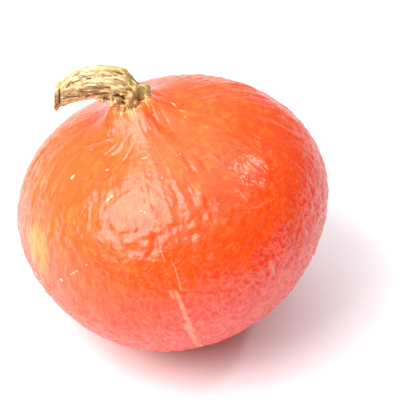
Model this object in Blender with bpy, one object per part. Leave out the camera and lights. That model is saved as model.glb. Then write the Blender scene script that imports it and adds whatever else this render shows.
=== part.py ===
"""A ripe winter squash of the onion-shaped red kind, lying on its ground spot, with its dried corky stem.

Each piece is skinned over rings of points. The rings are worked out round the fruit's stem axis, in a
frame whose origin is the fruit's middle and whose +Z points at the stem. An empty carries that frame: it
leans the fruit to one side and lifts it, so that the ground spot is flat on z = 0 with its middle at the
world origin. Lengths are in metres. Angles are in degrees where they are named at the top, and in radians
everywhere else.
"""

import math

import bmesh
import bpy
import numpy as np

# The fruit's body: half of its width, and how far it reaches from its middle along the stem axis
EQUATOR_RADIUS = 0.090
TOP_HEIGHT = 0.072
BOTTOM_DEPTH = 0.074
# Exponents of its profile, where 2 is an ellipse and less is a little more pointed
TOP_FULLNESS = 1.96
BOTTOM_FULLNESS = 1.78
# Uneven growth: lobes round the fruit, share of the radius, and the turn of the first lobe
SWELLS = ((2, 0.015, -36.0), (3, 0.022, 35.0), (4, 0.010, -17.5), (5, 0.006, 21.5))
LEAN = 17.0
GROUND_SPOT_DEPTH = 0.0014

# The neck that carries the stem, and the shallow hollow round its foot
NECK_TOP = 0.0813
NECK_TOP_RADIUS = 0.0105
NECK_FLARE = 6.8
NECK_FLARE_POWER = 1.15
HOLLOW_DEPTH = 0.0018
HOLLOW_TILT = 27.0
HOLLOW_WIDTH = 10.0
HOLLOW_LOBES = 3
HOLLOW_LOBE_SHARE = 0.4
HOLLOW_TURN = -20.0

# Folds that run down from the neck: broad ones, fine ones, and one groove that is deeper than the rest
BROAD_FOLDS = 5
BROAD_FOLD_HEIGHT = 0.0012
BROAD_FOLD_TURN = -78.0
FINE_FOLDS = 19
FINE_FOLD_HEIGHT = 0.0004
FOLD_REACH = 20.0
FOLD_START = 2.5
FOLD_UNEVENNESS = 7.0
FOLD_UNEVEN_TURN = -28.0
GROOVE_DEPTH = 0.0012
GROOVE_TURN = -43.0
GROOVE_HALF_WIDTH = 9.0
GROOVE_TILT = 17.0
GROOVE_LENGTH = 8.0

# The scar that the flower left at the far end of the axis
SCAR_RADIUS = 0.0068
SCAR_RIM = 0.0006
SCAR_RIM_WIDTH = 0.0018
SCAR_SINK = 0.0013
SCAR_SINK_RADIUS = 0.0041

# The stem: a tight bend that ends level, then a slack one, cut off at a slant
STEM_GAP = 0.0003
TIGHT_BEND = 90.0 - LEAN
TIGHT_BEND_RADIUS = 0.0152
SLACK_BEND = 38.0
SLACK_BEND_RADIUS = 0.041
BUTT_RADIUS = 0.0095
TIP_RADIUS = 0.0070
TAPER_POWER = 3.0
TIP_SHAVE = 0.0020
TIP_SHAVE_POWER = 4
CUT_SLANT = 40.0
CUT_SLANT_REACH = 0.020
FOOT_FLARE = 0.0008
FOOT_FLARE_HEIGHT = 0.0030
RIDGE_COUNT = 9
RIDGE_SHARE = 0.12
RIDGE_SHARE_AT_TIP = 0.05
RIDGE_SWAY = 0.35
RIDGE_SWAY_LENGTH = 0.027
RIDGE_START = 0.012

# Knobs and dents near the stem's foot: distance along the stem, angle round it, height and half-width
KNOBS = (
    (0.0095, 128.0, 0.0022, 0.0030),
    (0.0045, 70.0, 0.0010, 0.0022),
    (0.0135, 82.0, 0.0008, 0.0022),
    (0.0165, 12.0, 0.0009, 0.0024),
    (0.0080, 232.0, 0.0016, 0.0030),
    (0.0165, 285.0, 0.0009, 0.0026),
    (0.0180, 138.0, 0.0017, 0.0036),
    (0.0060, -10.0, -0.0013, 0.0045),
)
# A thin tongue of cork that the foot sends out over the neck, and the notch beside it
FLAP_REACH = 0.0032
FLAP_ANGLE = -20.0
FLAP_HALF_WIDTH = 24.0
FLAP_THICKNESS = 0.0020
NOTCH_DEPTH = 0.0030
NOTCH_ANGLE = 38.0
NOTCH_HALF_WIDTH = 15.0
NOTCH_HEIGHT = 0.0030

# The swollen rim at the cut end, the groove behind it and the sunk pith inside it
RIM_HEIGHT = 0.0008
RIM_SETBACK = 0.0013
RIM_HALF_WIDTH = 0.0013
RIM_GROOVE_DEPTH = 0.0007
RIM_GROOVE_SETBACK = 0.0040
PITH_STEPS = ((0.72, 0.0003), (0.34, 0.0014))
PITH_DEPTH = 0.0022

# How finely the rings are cut, and how much closer they stand at both ends of a piece
FRUIT_COLUMNS = 96
FRUIT_ROWS = 40
FRUIT_CROWDING = 0.65
STEM_COLUMNS = 45
STEM_ROWS = 36
STEM_CROWDING = 0.5

# The least angle between two faces that is drawn as a sharp edge
SHARP_EDGE = 50.0

FLOOR_CUTTER_SIDE = 0.16
FLOOR_CUTTER_HEIGHT = 0.03
MEAN_CREST = 2 / math.pi

RIND_COLOUR = (0.86, 0.10, 0.015)
RIND_ROUGHNESS = 0.32
CORK_COLOUR = (0.66, 0.47, 0.24)
CORK_ROUGHNESS = 0.85


def bell(offset, half_width):
    """A smooth bump, 1 where the offset is 0."""
    return np.exp(-((offset / half_width) ** 2))


def crests(angle, count):
    """Round crests between narrow grooves, averaging 0 over a turn."""
    return np.abs(np.cos(count / 2 * angle)) - MEAN_CREST


def smooth_step(value):
    """A ramp from 0 to 1 with level ends."""
    share = np.clip(value, 0, 1)
    return share * share * (3 - 2 * share)


def turn_between(turn, centre):
    """The shorter way round from one angle to the other."""
    return (turn - centre + math.pi) % (2 * math.pi) - math.pi


def crowded(count, crowding):
    """Shares from 0 to 1, closer together at both ends."""
    share = np.linspace(0, 1, count)
    return share - crowding * np.sin(2 * math.pi * share) / (2 * math.pi)


def body_radius(tilt, turn):
    """How far the plain body reaches at a tilt from the stem axis and a turn round it."""
    upper = np.cos(tilt) > 0
    height = np.where(upper, TOP_HEIGHT, BOTTOM_DEPTH)
    power = np.where(upper, TOP_FULLNESS, BOTTOM_FULLNESS)
    across = (np.sin(tilt) / EQUATOR_RADIUS) ** power
    along = (np.abs(np.cos(tilt)) / height) ** power
    swell = sum(share * np.cos(lobes * (turn - math.radians(first))) for lobes, share, first in SWELLS)
    return (across + along) ** (-1 / power) * (1 + np.sin(tilt) ** 2 * swell)


def neck_edge():
    """The tilt of the edge of the neck's flat top."""
    return math.atan(NECK_TOP_RADIUS / NECK_TOP)


def neck_relief(tilt, turn):
    """The neck's rise above the body, less the hollow round its foot."""
    rise = math.hypot(NECK_TOP_RADIUS, NECK_TOP) - body_radius(neck_edge(), 0.0)
    past_edge = np.maximum(tilt - neck_edge(), 0) / math.radians(NECK_FLARE)
    lobes = np.cos(HOLLOW_LOBES * (turn - math.radians(HOLLOW_TURN)))
    lobes = 1 - HOLLOW_LOBE_SHARE + HOLLOW_LOBE_SHARE * lobes
    hollow = HOLLOW_DEPTH * lobes * bell(tilt - math.radians(HOLLOW_TILT), math.radians(HOLLOW_WIDTH))
    return rise * np.exp(-(past_edge**NECK_FLARE_POWER)) - hollow


def fold_relief(tilt, turn):
    """Folds that start under the neck's top and die out over the shoulder, with one deep groove."""
    below_edge = tilt - neck_edge()
    fade = smooth_step(below_edge / math.radians(FOLD_START)) * np.exp(-below_edge / math.radians(FOLD_REACH))
    unevenness = math.radians(FOLD_UNEVENNESS) * np.sin(2 * (turn - math.radians(FOLD_UNEVEN_TURN)))
    uneven_turn = turn - math.radians(BROAD_FOLD_TURN) + unevenness
    folds = BROAD_FOLD_HEIGHT * np.cos(BROAD_FOLDS * uneven_turn)
    folds = folds + FINE_FOLD_HEIGHT * np.cos(FINE_FOLDS * uneven_turn)
    groove = bell(turn_between(turn, math.radians(GROOVE_TURN)), math.radians(GROOVE_HALF_WIDTH))
    groove = groove * bell(tilt - math.radians(GROOVE_TILT), math.radians(GROOVE_LENGTH))
    return fade * folds - GROOVE_DEPTH * groove


def scar_relief(tilt):
    """The raised rim of the flower's scar and its sunk middle."""
    off_pole = (math.pi - tilt) * BOTTOM_DEPTH
    rim = SCAR_RIM * bell(off_pole - SCAR_RADIUS, SCAR_RIM_WIDTH)
    return rim - SCAR_SINK * bell(off_pole, SCAR_SINK_RADIUS)


def rind_points(tilt, turn):
    """Points of the rind in the fruit's own frame."""
    radius = body_radius(tilt, turn) + neck_relief(tilt, turn) + fold_relief(tilt, turn) + scar_relief(tilt)
    across = radius * np.sin(tilt)
    return np.stack([across * np.cos(turn), across * np.sin(turn), radius * np.cos(tilt)], axis=-1)


def axis_place():
    """Where the fruit's middle is, with its lowest point over the world origin and sunk by the flat spot."""
    tilt, turn = np.meshgrid(np.linspace(math.pi / 2, math.pi, 361), np.linspace(0, 2 * math.pi, 721))
    points = rind_points(tilt, turn).reshape(-1, 3)
    lean = math.radians(LEAN)
    leaned = np.stack(
        [
            points[:, 0] * math.cos(lean) - points[:, 2] * math.sin(lean),
            points[:, 1],
            points[:, 0] * math.sin(lean) + points[:, 2] * math.cos(lean),
        ],
        axis=-1,
    )
    x, y, z = leaned[leaned[:, 2].argmin()]
    return -x, -y, -z - GROUND_SPOT_DEPTH


def fruit_rings():
    """Rings from the neck's flat top to the flower's scar."""
    tilts = neck_edge() + crowded(FRUIT_ROWS + 1, FRUIT_CROWDING) * (math.pi - neck_edge())
    turns = np.arange(FRUIT_COLUMNS) / FRUIT_COLUMNS * 2 * math.pi
    return [rind_points(np.full(FRUIT_COLUMNS, tilt), turns) for tilt in tilts[:-1]]


def stem_length():
    """The length of the stem's centre line."""
    return TIGHT_BEND_RADIUS * math.radians(TIGHT_BEND) + SLACK_BEND_RADIUS * math.radians(SLACK_BEND)


def stem_bend(distance):
    """How far the stem has turned away from the fruit's axis by each of its two bends."""
    tight = min(distance / TIGHT_BEND_RADIUS, math.radians(TIGHT_BEND))
    past_tight = distance - TIGHT_BEND_RADIUS * math.radians(TIGHT_BEND)
    return tight, max(past_tight / SLACK_BEND_RADIUS, 0)


def stem_frame(distance):
    """The centre line's point, its direction and the direction of the bend's outer side."""
    tight, slack = stem_bend(distance)
    heading = tight + slack
    out = TIGHT_BEND_RADIUS * (1 - math.cos(tight))
    out += SLACK_BEND_RADIUS * (math.cos(tight) - math.cos(heading))
    up = TIGHT_BEND_RADIUS * math.sin(tight)
    up += SLACK_BEND_RADIUS * (math.sin(heading) - math.sin(tight))
    centre = np.array([-out, 0, NECK_TOP + STEM_GAP + up])
    along = np.array([-math.sin(heading), 0, math.cos(heading)])
    outer = np.array([math.cos(heading), 0, math.sin(heading)])
    return centre, along, outer


def knob_relief(distance, angle):
    """The corky knobs and the dents near the foot."""
    relief = np.zeros_like(angle)
    for place, side, height, half_width in KNOBS:
        round_way = turn_between(angle, math.radians(side)) * BUTT_RADIUS
        relief += height * bell(np.hypot(distance - place, round_way), half_width)
    return relief


def foot_relief(distance, angle):
    """The foot's flare, its tongue of cork and the notch beside it."""
    flap = bell(turn_between(angle, math.radians(FLAP_ANGLE)), math.radians(FLAP_HALF_WIDTH))
    notch = bell(turn_between(angle, math.radians(NOTCH_ANGLE)), math.radians(NOTCH_HALF_WIDTH))
    flap = FLAP_REACH * flap * bell(distance, FLAP_THICKNESS)
    flare = FOOT_FLARE * bell(distance, FOOT_FLARE_HEIGHT)
    return flare + flap - NOTCH_DEPTH * notch * bell(distance, NOTCH_HEIGHT)


def stem_radius(distance, angle):
    """The stem's radius at a distance along it and an angle round it, counted from the bend's outer side."""
    length = stem_length()
    share = distance / length
    taper = BUTT_RADIUS + (TIP_RADIUS - BUTT_RADIUS) * share**TAPER_POWER
    taper = taper - TIP_SHAVE * share**TIP_SHAVE_POWER * (1 + np.cos(angle)) / 2
    sway = RIDGE_SWAY * math.sin(2 * math.pi * distance / RIDGE_SWAY_LENGTH)
    ridge_share = RIDGE_SHARE + (RIDGE_SHARE_AT_TIP - RIDGE_SHARE) * share
    ridges = ridge_share * smooth_step(distance / RIDGE_START) * crests(angle + sway, RIDGE_COUNT)
    rim = RIM_HEIGHT * bell(length - RIM_SETBACK - distance, RIM_HALF_WIDTH)
    rim = rim - RIM_GROOVE_DEPTH * bell(length - RIM_GROOVE_SETBACK - distance, RIM_HALF_WIDTH)
    return taper * (1 + ridges) + knob_relief(distance, angle) + foot_relief(distance, angle) + rim


def stem_ring(distance, share=1.0, sink=0.0):
    """One ring of the stem, drawn in towards the centre line by a share and sunk below its own plane."""
    angle = np.arange(STEM_COLUMNS) / STEM_COLUMNS * 2 * math.pi
    centre, along, outer = stem_frame(distance)
    radius = share * stem_radius(distance, angle)
    outward = radius * np.cos(angle)
    frontward = radius * np.sin(angle)
    to_cut = (distance - stem_length()) / CUT_SLANT_REACH
    slant = math.tan(math.radians(CUT_SLANT)) * smooth_step(1 + to_cut)
    front = np.array([0.0, -1.0, 0.0])
    sideways = np.outer(outward, outer) + np.outer(frontward, front)
    return centre + sideways - np.outer(sink + slant * outward, along)


def stem_rings():
    """Rings from the stem's foot to the rim of its cut end, then in over the sunk pith."""
    distances = crowded(STEM_ROWS, STEM_CROWDING) * stem_length()
    rings = [stem_ring(distance) for distance in distances]
    rings += [stem_ring(stem_length(), share, sink) for share, sink in PITH_STEPS]
    return rings


def skinned_mesh(name, rings, first_pole, last_pole):
    """A closed mesh over a row of rings, with a fan of triangles to the pole at each end."""
    shape = bmesh.new()
    loops = [[shape.verts.new(point) for point in ring] for ring in rings]
    for lower, upper in zip(loops, loops[1:]):
        for index, start in enumerate(lower):
            after = (index + 1) % len(lower)
            shape.faces.new((start, lower[after], upper[after], upper[index]))
    for loop, pole in ((loops[0], first_pole), (loops[-1], last_pole)):
        tip = shape.verts.new(pole)
        for index, start in enumerate(loop):
            shape.faces.new((start, loop[(index + 1) % len(loop)], tip))
    bmesh.ops.recalc_face_normals(shape, faces=shape.faces)
    mesh = bpy.data.meshes.new(name)
    shape.to_mesh(mesh)
    shape.free()
    mesh.shade_smooth()
    mesh.set_sharp_from_angle(angle=math.radians(SHARP_EDGE))
    return mesh


def finish(name, colour, roughness):
    """A plain material."""
    material = bpy.data.materials.new(name)
    material.use_nodes = True
    surface = material.node_tree.nodes["Principled BSDF"]
    surface.inputs["Base Color"].default_value = (*colour, 1)
    surface.inputs["Roughness"].default_value = roughness
    surface.inputs["Metallic"].default_value = 0.0
    return material


def add_piece(mesh, axis, material):
    """Puts a mesh in the scene in the fruit's own frame."""
    piece = bpy.data.objects.new(mesh.name, mesh)
    piece.parent = axis
    mesh.materials.append(material)
    bpy.context.scene.collection.objects.link(piece)
    return piece


def add_axis():
    """The empty that leans and lifts the fruit's own frame."""
    axis = bpy.data.objects.new("fruit_axis", None)
    axis.location = axis_place()
    axis.rotation_euler = (0, -math.radians(LEAN), 0)
    axis.empty_display_size = EQUATOR_RADIUS
    bpy.context.scene.collection.objects.link(axis)
    return axis


def cut_ground_spot(fruit):
    """Cuts the fruit off flat where it lies on the ground."""
    bpy.ops.mesh.primitive_cube_add(size=1, location=(0, 0, -FLOOR_CUTTER_HEIGHT / 2))
    cutter = bpy.context.object
    cutter.name = "floor_cutter"
    cutter.scale = (FLOOR_CUTTER_SIDE, FLOOR_CUTTER_SIDE, FLOOR_CUTTER_HEIGHT)
    cutter.hide_render = True
    cutter.display_type = "WIRE"
    cut = fruit.modifiers.new("ground_spot", "BOOLEAN")
    cut.object = cutter
    cut.operation = "DIFFERENCE"


def add_fruit(axis):
    """The fruit: one solid from the neck's top to the flower's scar."""
    scar = rind_points(np.array([math.pi]), np.array([0.0]))[0]
    mesh = skinned_mesh("fruit", fruit_rings(), (0, 0, NECK_TOP), (0, 0, scar[2]))
    fruit = add_piece(mesh, axis, finish("rind", RIND_COLOUR, RIND_ROUGHNESS))
    cut_ground_spot(fruit)


def add_stem(axis):
    """The dried stem, standing on the neck's top."""
    centre, along, _ = stem_frame(stem_length())
    mesh = skinned_mesh("stem", stem_rings(), (0, 0, NECK_TOP + STEM_GAP), centre - PITH_DEPTH * along)
    add_piece(mesh, axis, finish("cork", CORK_COLOUR, CORK_ROUGHNESS))


def main():
    """Clears the scene and builds the squash."""
    for old in list(bpy.data.objects):
        bpy.data.objects.remove(old)
    axis = add_axis()
    add_fruit(axis)
    add_stem(axis)


main()
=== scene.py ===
"""The red squash in the photograph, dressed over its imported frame.

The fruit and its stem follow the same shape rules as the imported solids, worked out finer. Growth trees made
of Geometry Nodes then raise what a hand would feel: lumps, flutes and wrinkles on the rind, and fibres,
cracks, warts and pits on the stem. Lengths are in metres. Fields that hold angles are in degrees, and what
is worked out from them is in radians.
"""

import logging
import math
import random
from dataclasses import dataclass
from enum import Enum
from functools import cached_property
from typing import Any, Sequence, Union

import bpy
import numpy as np
from mathutils import Euler, Matrix, Vector


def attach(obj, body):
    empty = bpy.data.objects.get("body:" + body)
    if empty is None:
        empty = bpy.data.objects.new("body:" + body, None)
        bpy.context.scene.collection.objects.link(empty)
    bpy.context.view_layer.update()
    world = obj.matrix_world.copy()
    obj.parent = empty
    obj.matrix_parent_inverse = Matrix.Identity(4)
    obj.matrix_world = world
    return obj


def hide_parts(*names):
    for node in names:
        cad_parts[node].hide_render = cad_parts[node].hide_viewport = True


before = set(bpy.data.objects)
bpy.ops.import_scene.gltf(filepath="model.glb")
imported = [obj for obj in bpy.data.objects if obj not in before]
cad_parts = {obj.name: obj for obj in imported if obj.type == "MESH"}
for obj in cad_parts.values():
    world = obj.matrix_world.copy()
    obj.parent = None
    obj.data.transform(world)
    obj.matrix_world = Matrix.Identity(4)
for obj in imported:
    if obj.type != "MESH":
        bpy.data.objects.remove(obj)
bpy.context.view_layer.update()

LOG = logging.getLogger("squash")

Colour = tuple[float, float, float]
Point = tuple[float, float, float]
Span = tuple[float, float]
Fed = Union[bpy.types.NodeSocket, float, Sequence[float]]


class Body(Enum):
    """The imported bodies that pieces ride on."""

    ROOT = "root"


class Slot(Enum):
    """The record's material slots."""

    RIND = "rind"
    CORK = "cork"


class Field(Enum):
    """Names of what is stored on the points and corners of a mesh."""

    TILT = "tilt"
    SPOKE = "spoke"
    GRAIN = "grain"
    MERIDIANS = "meridians"
    FIBRE = "fibre"
    ALONG = "along"
    CUT = "cut"
    # CREVICE and DARK carry painted shade: darkness set by depth in the stem's hollows.
    CREVICE = "crevice_shade"
    DARK = "dark"
    TURNED = "turned"
    SIZE = "size"
    REST = "rest"
    CREST = "crest"


def bell(offset: Any, half_width: float) -> Any:
    """A smooth bump, 1 where the offset is 0."""
    return np.exp(-((offset / half_width) ** 2))


def smooth_step(value: Any) -> Any:
    """A ramp from 0 to 1 with level ends."""
    share = np.clip(value, 0, 1)
    return share * share * (3 - 2 * share)


def turn_between(turn: Any, centre: float) -> Any:
    """The shorter way round from one angle to the other."""
    return (turn - centre + math.pi) % (2 * math.pi) - math.pi


def crowded(count: int, crowding: float) -> np.ndarray:
    """Shares from 0 to 1, closer together at both ends."""
    share = np.linspace(0, 1, count)
    return share - crowding * np.sin(2 * math.pi * share) / (2 * math.pi)


class NodeBench:
    """Adds nodes to one tree and wires them, for geometry and for materials alike."""

    def __init__(self, tree: bpy.types.NodeTree) -> None:
        """Keeps the tree that the nodes go into."""
        self.tree = tree

    def feed(self, socket: bpy.types.NodeSocket, value: Fed) -> None:
        """Links a socket to an output, or sets it to a value.

        Args:
            socket: The input.
            value: The output or the value.
        """
        if isinstance(value, bpy.types.NodeSocket):
            self.tree.links.new(value, socket)
        else:
            socket.default_value = value

    def add(self, kind: str, inputs: dict[Any, Fed] | None = None, **settings: Any) -> bpy.types.Node:
        """Adds one node.

        Args:
            kind: The node's type name.
            inputs: What goes into its sockets, by name or number.
            settings: Its other settings.

        Returns:
            The new node.
        """
        node = self.tree.nodes.new(kind)
        for name, value in settings.items():
            setattr(node, name, value)
        for key, value in (inputs or {}).items():
            self.feed(node.inputs[key], value)
        return node

    def sum(self, operation: str, first: Fed, second: Fed = 0.0, third: Fed = 0.0) -> bpy.types.NodeSocket:
        """One step of arithmetic on numbers."""
        inputs = {0: first, 1: second, 2: third}
        return self.add("ShaderNodeMath", inputs, operation=operation).outputs[0]

    def vector_sum(self, operation: str, first: Fed, second: Fed) -> bpy.types.NodeSocket:
        """One step of arithmetic on vectors, for the operations that give a vector."""
        return self.add("ShaderNodeVectorMath", {0: first, 1: second}, operation=operation).outputs[0]

    def scaled(self, vector: Fed, share: Fed) -> bpy.types.NodeSocket:
        """A vector made longer or shorter."""
        node = self.add("ShaderNodeVectorMath", {0: vector, "Scale": share}, operation="SCALE")
        return node.outputs[0]

    def span(self, first: Fed, second: Fed) -> bpy.types.NodeSocket:
        """The distance between two points."""
        return self.add("ShaderNodeVectorMath", {0: first, 1: second}, operation="DISTANCE").outputs["Value"]

    def noise(self, place: Fed, scale: Fed, detail: float = 2.0, rough: float = 0.5) -> bpy.types.NodeSocket:
        """Cloudy noise that averages a half.

        Args:
            place: Where it is read.
            scale: Patches to the metre.
            detail: How many finer layers it has.
            rough: How strong the finer layers are.

        Returns:
            A number round a half.
        """
        inputs = {"Vector": place, "Scale": scale, "Detail": detail, "Roughness": rough}
        return self.add("ShaderNodeTexNoise", inputs).outputs[0]

    def drift(self, place: Fed, scale: Fed, reach: Fed) -> bpy.types.NodeSocket:
        """A place pushed about by noise, by about half of the reach at most.

        Args:
            place: The place.
            scale: Patches of the noise to the metre.
            reach: About twice the furthest push.

        Returns:
            The pushed place.
        """
        colour = self.add("ShaderNodeTexNoise", {"Vector": place, "Scale": scale, "Detail": 1.0}).outputs[1]
        push = self.scaled(self.vector_sum("SUBTRACT", colour, (0.5, 0.5, 0.5)), reach)
        return self.vector_sum("ADD", place, push)

    def cells(self, place: Fed, scale: Fed) -> bpy.types.NodeSocket:
        """The distance to the nearest of many scattered seeds, in shares of a cell."""
        return self.add("ShaderNodeTexVoronoi", {"Vector": place, "Scale": scale}).outputs["Distance"]

    def ridges(self, place: Fed, scale: Fed, sharpness: float, detail: float = 1.0) -> bpy.types.NodeSocket:
        """A net of narrow crests, 1 along a crest and near 0 between them.

        Args:
            place: Where it is read.
            scale: Cells to the metre.
            sharpness: How narrow the crests are.
            detail: How many finer layers it has.

        Returns:
            A number from 0 to 1.
        """
        folded = self.sum("ABSOLUTE", self.sum("SUBTRACT", self.noise(place, scale, detail), 0.5))
        crest = self.sum("MAXIMUM", self.sum("MULTIPLY_ADD", folded, -6.4, 1.0), 0.0)
        return self.sum("POWER", crest, sharpness)

    def swing(self, place: Fed, scale: Fed, detail: float = 1.0, rough: float = 0.5) -> bpy.types.NodeSocket:
        """Cloudy noise that swings between about -1 and 1."""
        return self.sum("MULTIPLY_ADD", self.noise(place, scale, detail, rough), 4.0, -2.0)

    def ramp(self, value: Fed, start: Fed, end: Fed, low: Fed = 0.0, high: Fed = 1.0) -> bpy.types.NodeSocket:
        """A smooth ramp from one level to another between two values."""
        inputs = {0: value, 1: start, 2: end, 3: low, 4: high}
        return self.add("ShaderNodeMapRange", inputs, interpolation_type="SMOOTHSTEP").outputs[0]

    def angle_ramp(self, angle: Fed, span: Span, low: float = 0.0, high: float = 1.0) -> bpy.types.NodeSocket:
        """A smooth ramp from one level to another between two angles in degrees."""
        return self.ramp(angle, math.radians(span[0]), math.radians(span[1]), low, high)

    def total(self, parts: Sequence[Fed]) -> bpy.types.NodeSocket:
        """The sum of several numbers.

        Args:
            parts: The numbers.

        Returns:
            Their sum.
        """
        result = parts[0]
        for part in parts[1:]:
            result = self.sum("ADD", result, part)
        return result

    def product(self, *parts: Fed) -> bpy.types.NodeSocket:
        """The product of several numbers.

        Args:
            parts: The numbers.

        Returns:
            Their product.
        """
        result = parts[0]
        for part in parts[1:]:
            result = self.sum("MULTIPLY", result, part)
        return result

    def blend(self, first: Fed, second: Fed, share: Fed) -> bpy.types.NodeSocket:
        """A colour between two colours.

        Args:
            first: One colour.
            second: The other colour.
            share: How much of the second there is.

        Returns:
            The blended colour.
        """
        node = self.add("ShaderNodeMix", data_type="RGBA")
        self.feed(node.inputs[0], share)
        for index, colour in ((6, first), (7, second)):
            is_plain = isinstance(colour, tuple) and len(colour) == 3
            self.feed(node.inputs[index], (*colour, 1.0) if is_plain else colour)
        return node.outputs[2]


class SurfaceBench(NodeBench):
    """A node bench for a material, with the places and the shader that every finish uses."""

    def __init__(self, name: str) -> None:
        """Makes the material and empties its tree.

        Args:
            name: The material's name.
        """
        self.material = bpy.data.materials.new(name)
        self.material.use_nodes = True
        super().__init__(self.material.node_tree)
        self.tree.nodes.clear()

    @cached_property
    def place(self) -> bpy.types.NodeSocket:
        """The point on the piece, in metres."""
        return self.add("ShaderNodeTexCoord").outputs["Object"]

    def stored(self, field: Field) -> bpy.types.Node:
        """The node that reads what is stored on the mesh under a name."""
        return self.add("ShaderNodeAttribute", attribute_name=field.value)

    def finish(
        self, colour: Fed, roughness: Fed, relief: Fed, coat: float = 0.0, coat_roughness: float = 0.1,
        ior: float = 1.5,
    ) -> bpy.types.Material:
        """Wires the shader.

        Args:
            colour: The surface's own colour.
            roughness: How much it scatters what it mirrors.
            relief: Fine relief in metres, for the bump.
            coat: Weight of a thin clear layer of wax.
            coat_roughness: How much that layer scatters.
            ior: The refractive index, which sets how much it mirrors.

        Returns:
            The finished material.
        """
        bump = self.add("ShaderNodeBump", {"Strength": 1.0, "Distance": 1.0, "Height": relief})
        shader = self.add("ShaderNodeBsdfPrincipled")
        self.feed(shader.inputs["Base Color"], colour)
        self.feed(shader.inputs["Roughness"], roughness)
        self.feed(shader.inputs["Normal"], bump.outputs[0])
        shader.inputs["IOR"].default_value = ior
        shader.inputs["Coat Weight"].default_value = coat
        shader.inputs["Coat Roughness"].default_value = coat_roughness
        output = self.add("ShaderNodeOutputMaterial")
        self.feed(output.inputs["Surface"], shader.outputs[0])
        return self.material


class GrowthBench(NodeBench):
    """A node bench for a growth tree, whose sizes are named inputs."""

    SOCKETS = {float: "NodeSocketFloat", int: "NodeSocketInt"}

    def __init__(self, name: str, sizes: dict[str, float], dress: bpy.types.Material) -> None:
        """Makes the tree, with one geometry in, one out, and an input for each size.

        Args:
            name: The tree's name.
            sizes: Each named size and its value.
            dress: The material that the result wears.
        """
        super().__init__(bpy.data.node_groups.new(name, "GeometryNodeTree"))
        self.sizes = sizes
        self.dress = dress
        face = self.tree.interface
        face.new_socket(name="Geometry", in_out="INPUT", socket_type="NodeSocketGeometry")
        face.new_socket(name="Geometry", in_out="OUTPUT", socket_type="NodeSocketGeometry")
        for size, value in sizes.items():
            face.new_socket(name=size, in_out="INPUT", socket_type=self.SOCKETS[type(value)])
        self.given = self.add("NodeGroupInput").outputs

    def stored(self, field: Field, kind: str) -> bpy.types.NodeSocket:
        """What is stored on the points under a name."""
        node = self.add("GeometryNodeInputNamedAttribute", {"Name": field.value}, data_type=kind)
        return node.outputs[0]

    def store(self, geometry: Fed, field: Field, value: Fed) -> bpy.types.NodeSocket:
        """Stores a number on the points, for the material to read.

        Args:
            geometry: The geometry so far.
            field: The name that it is stored under.
            value: The number.

        Returns:
            The geometry with the number on its points.
        """
        node = self.add("GeometryNodeStoreNamedAttribute", {0: geometry, "Name": field.value})
        self.feed(node.inputs["Value"], value)
        return node.outputs[0]

    def pushed_out(self, geometry: Fed, height: Fed) -> bpy.types.NodeSocket:
        """Moves every point along its normal."""
        push = self.scaled(self.add("GeometryNodeInputNormal").outputs[0], height)
        return self.add("GeometryNodeSetPosition", {0: geometry, "Offset": push}).outputs[0]

    def grow(self, carrier: bpy.types.Mesh, geometry: Fed) -> bpy.types.Mesh:
        """Ends the tree, lets it grow on a mesh and keeps the result as a plain mesh.

        Args:
            carrier: The mesh that the tree starts from.
            geometry: The last socket of the tree so far.

        Returns:
            A new mesh that needs no modifier.
        """
        real = self.add("GeometryNodeRealizeInstances", {0: geometry}).outputs[0]
        dressed = self.add("GeometryNodeSetMaterial", {0: real, "Material": self.dress}).outputs[0]
        self.feed(self.add("NodeGroupOutput").inputs[0], dressed)
        holder = bpy.data.objects.new(self.tree.name, carrier)
        bpy.context.scene.collection.objects.link(holder)
        modifier = holder.modifiers.new(self.tree.name, "NODES")
        modifier.node_group = self.tree
        for item in self.tree.interface.items_tree:
            if item.in_out == "INPUT" and item.name in self.sizes:
                modifier[item.identifier] = self.sizes[item.name]
        graph = bpy.context.evaluated_depsgraph_get()
        grown = bpy.data.meshes.new_from_object(
            holder.evaluated_get(graph), preserve_all_data_layers=True, depsgraph=graph
        )
        holder.modifiers.remove(modifier)
        bpy.data.objects.remove(holder)
        return grown


def store_on_points(mesh: bpy.types.Mesh, field: Field, values: np.ndarray) -> None:
    """Stores a number or a vector for each point of a mesh.

    Args:
        mesh: The mesh.
        field: The name that they are stored under.
        values: One number or vector for each point.
    """
    is_vector = values.ndim == 2
    kind = "FLOAT_VECTOR" if is_vector else "FLOAT"
    layer = mesh.attributes.new(field.value, kind, "POINT")
    layer.data.foreach_set("vector" if is_vector else "value", values.astype(np.float32).ravel())


def add_piece(name: str, mesh: bpy.types.Mesh, node: str | None = None) -> bpy.types.Object:
    """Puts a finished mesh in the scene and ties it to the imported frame.

    Args:
        name: The piece's name.
        mesh: Its mesh, in place.
        node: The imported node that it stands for, if it stands for one.

    Returns:
        The new object.
    """
    mesh.name = name
    mesh.shade_smooth()
    piece = bpy.data.objects.new(name, mesh)
    bpy.context.scene.collection.objects.link(piece)
    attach(piece, Body.ROOT.value)
    if node is not None:
        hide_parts(node)
    LOG.info("%s: %d points, %d faces", name, len(mesh.vertices), len(mesh.polygons))
    return piece


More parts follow.
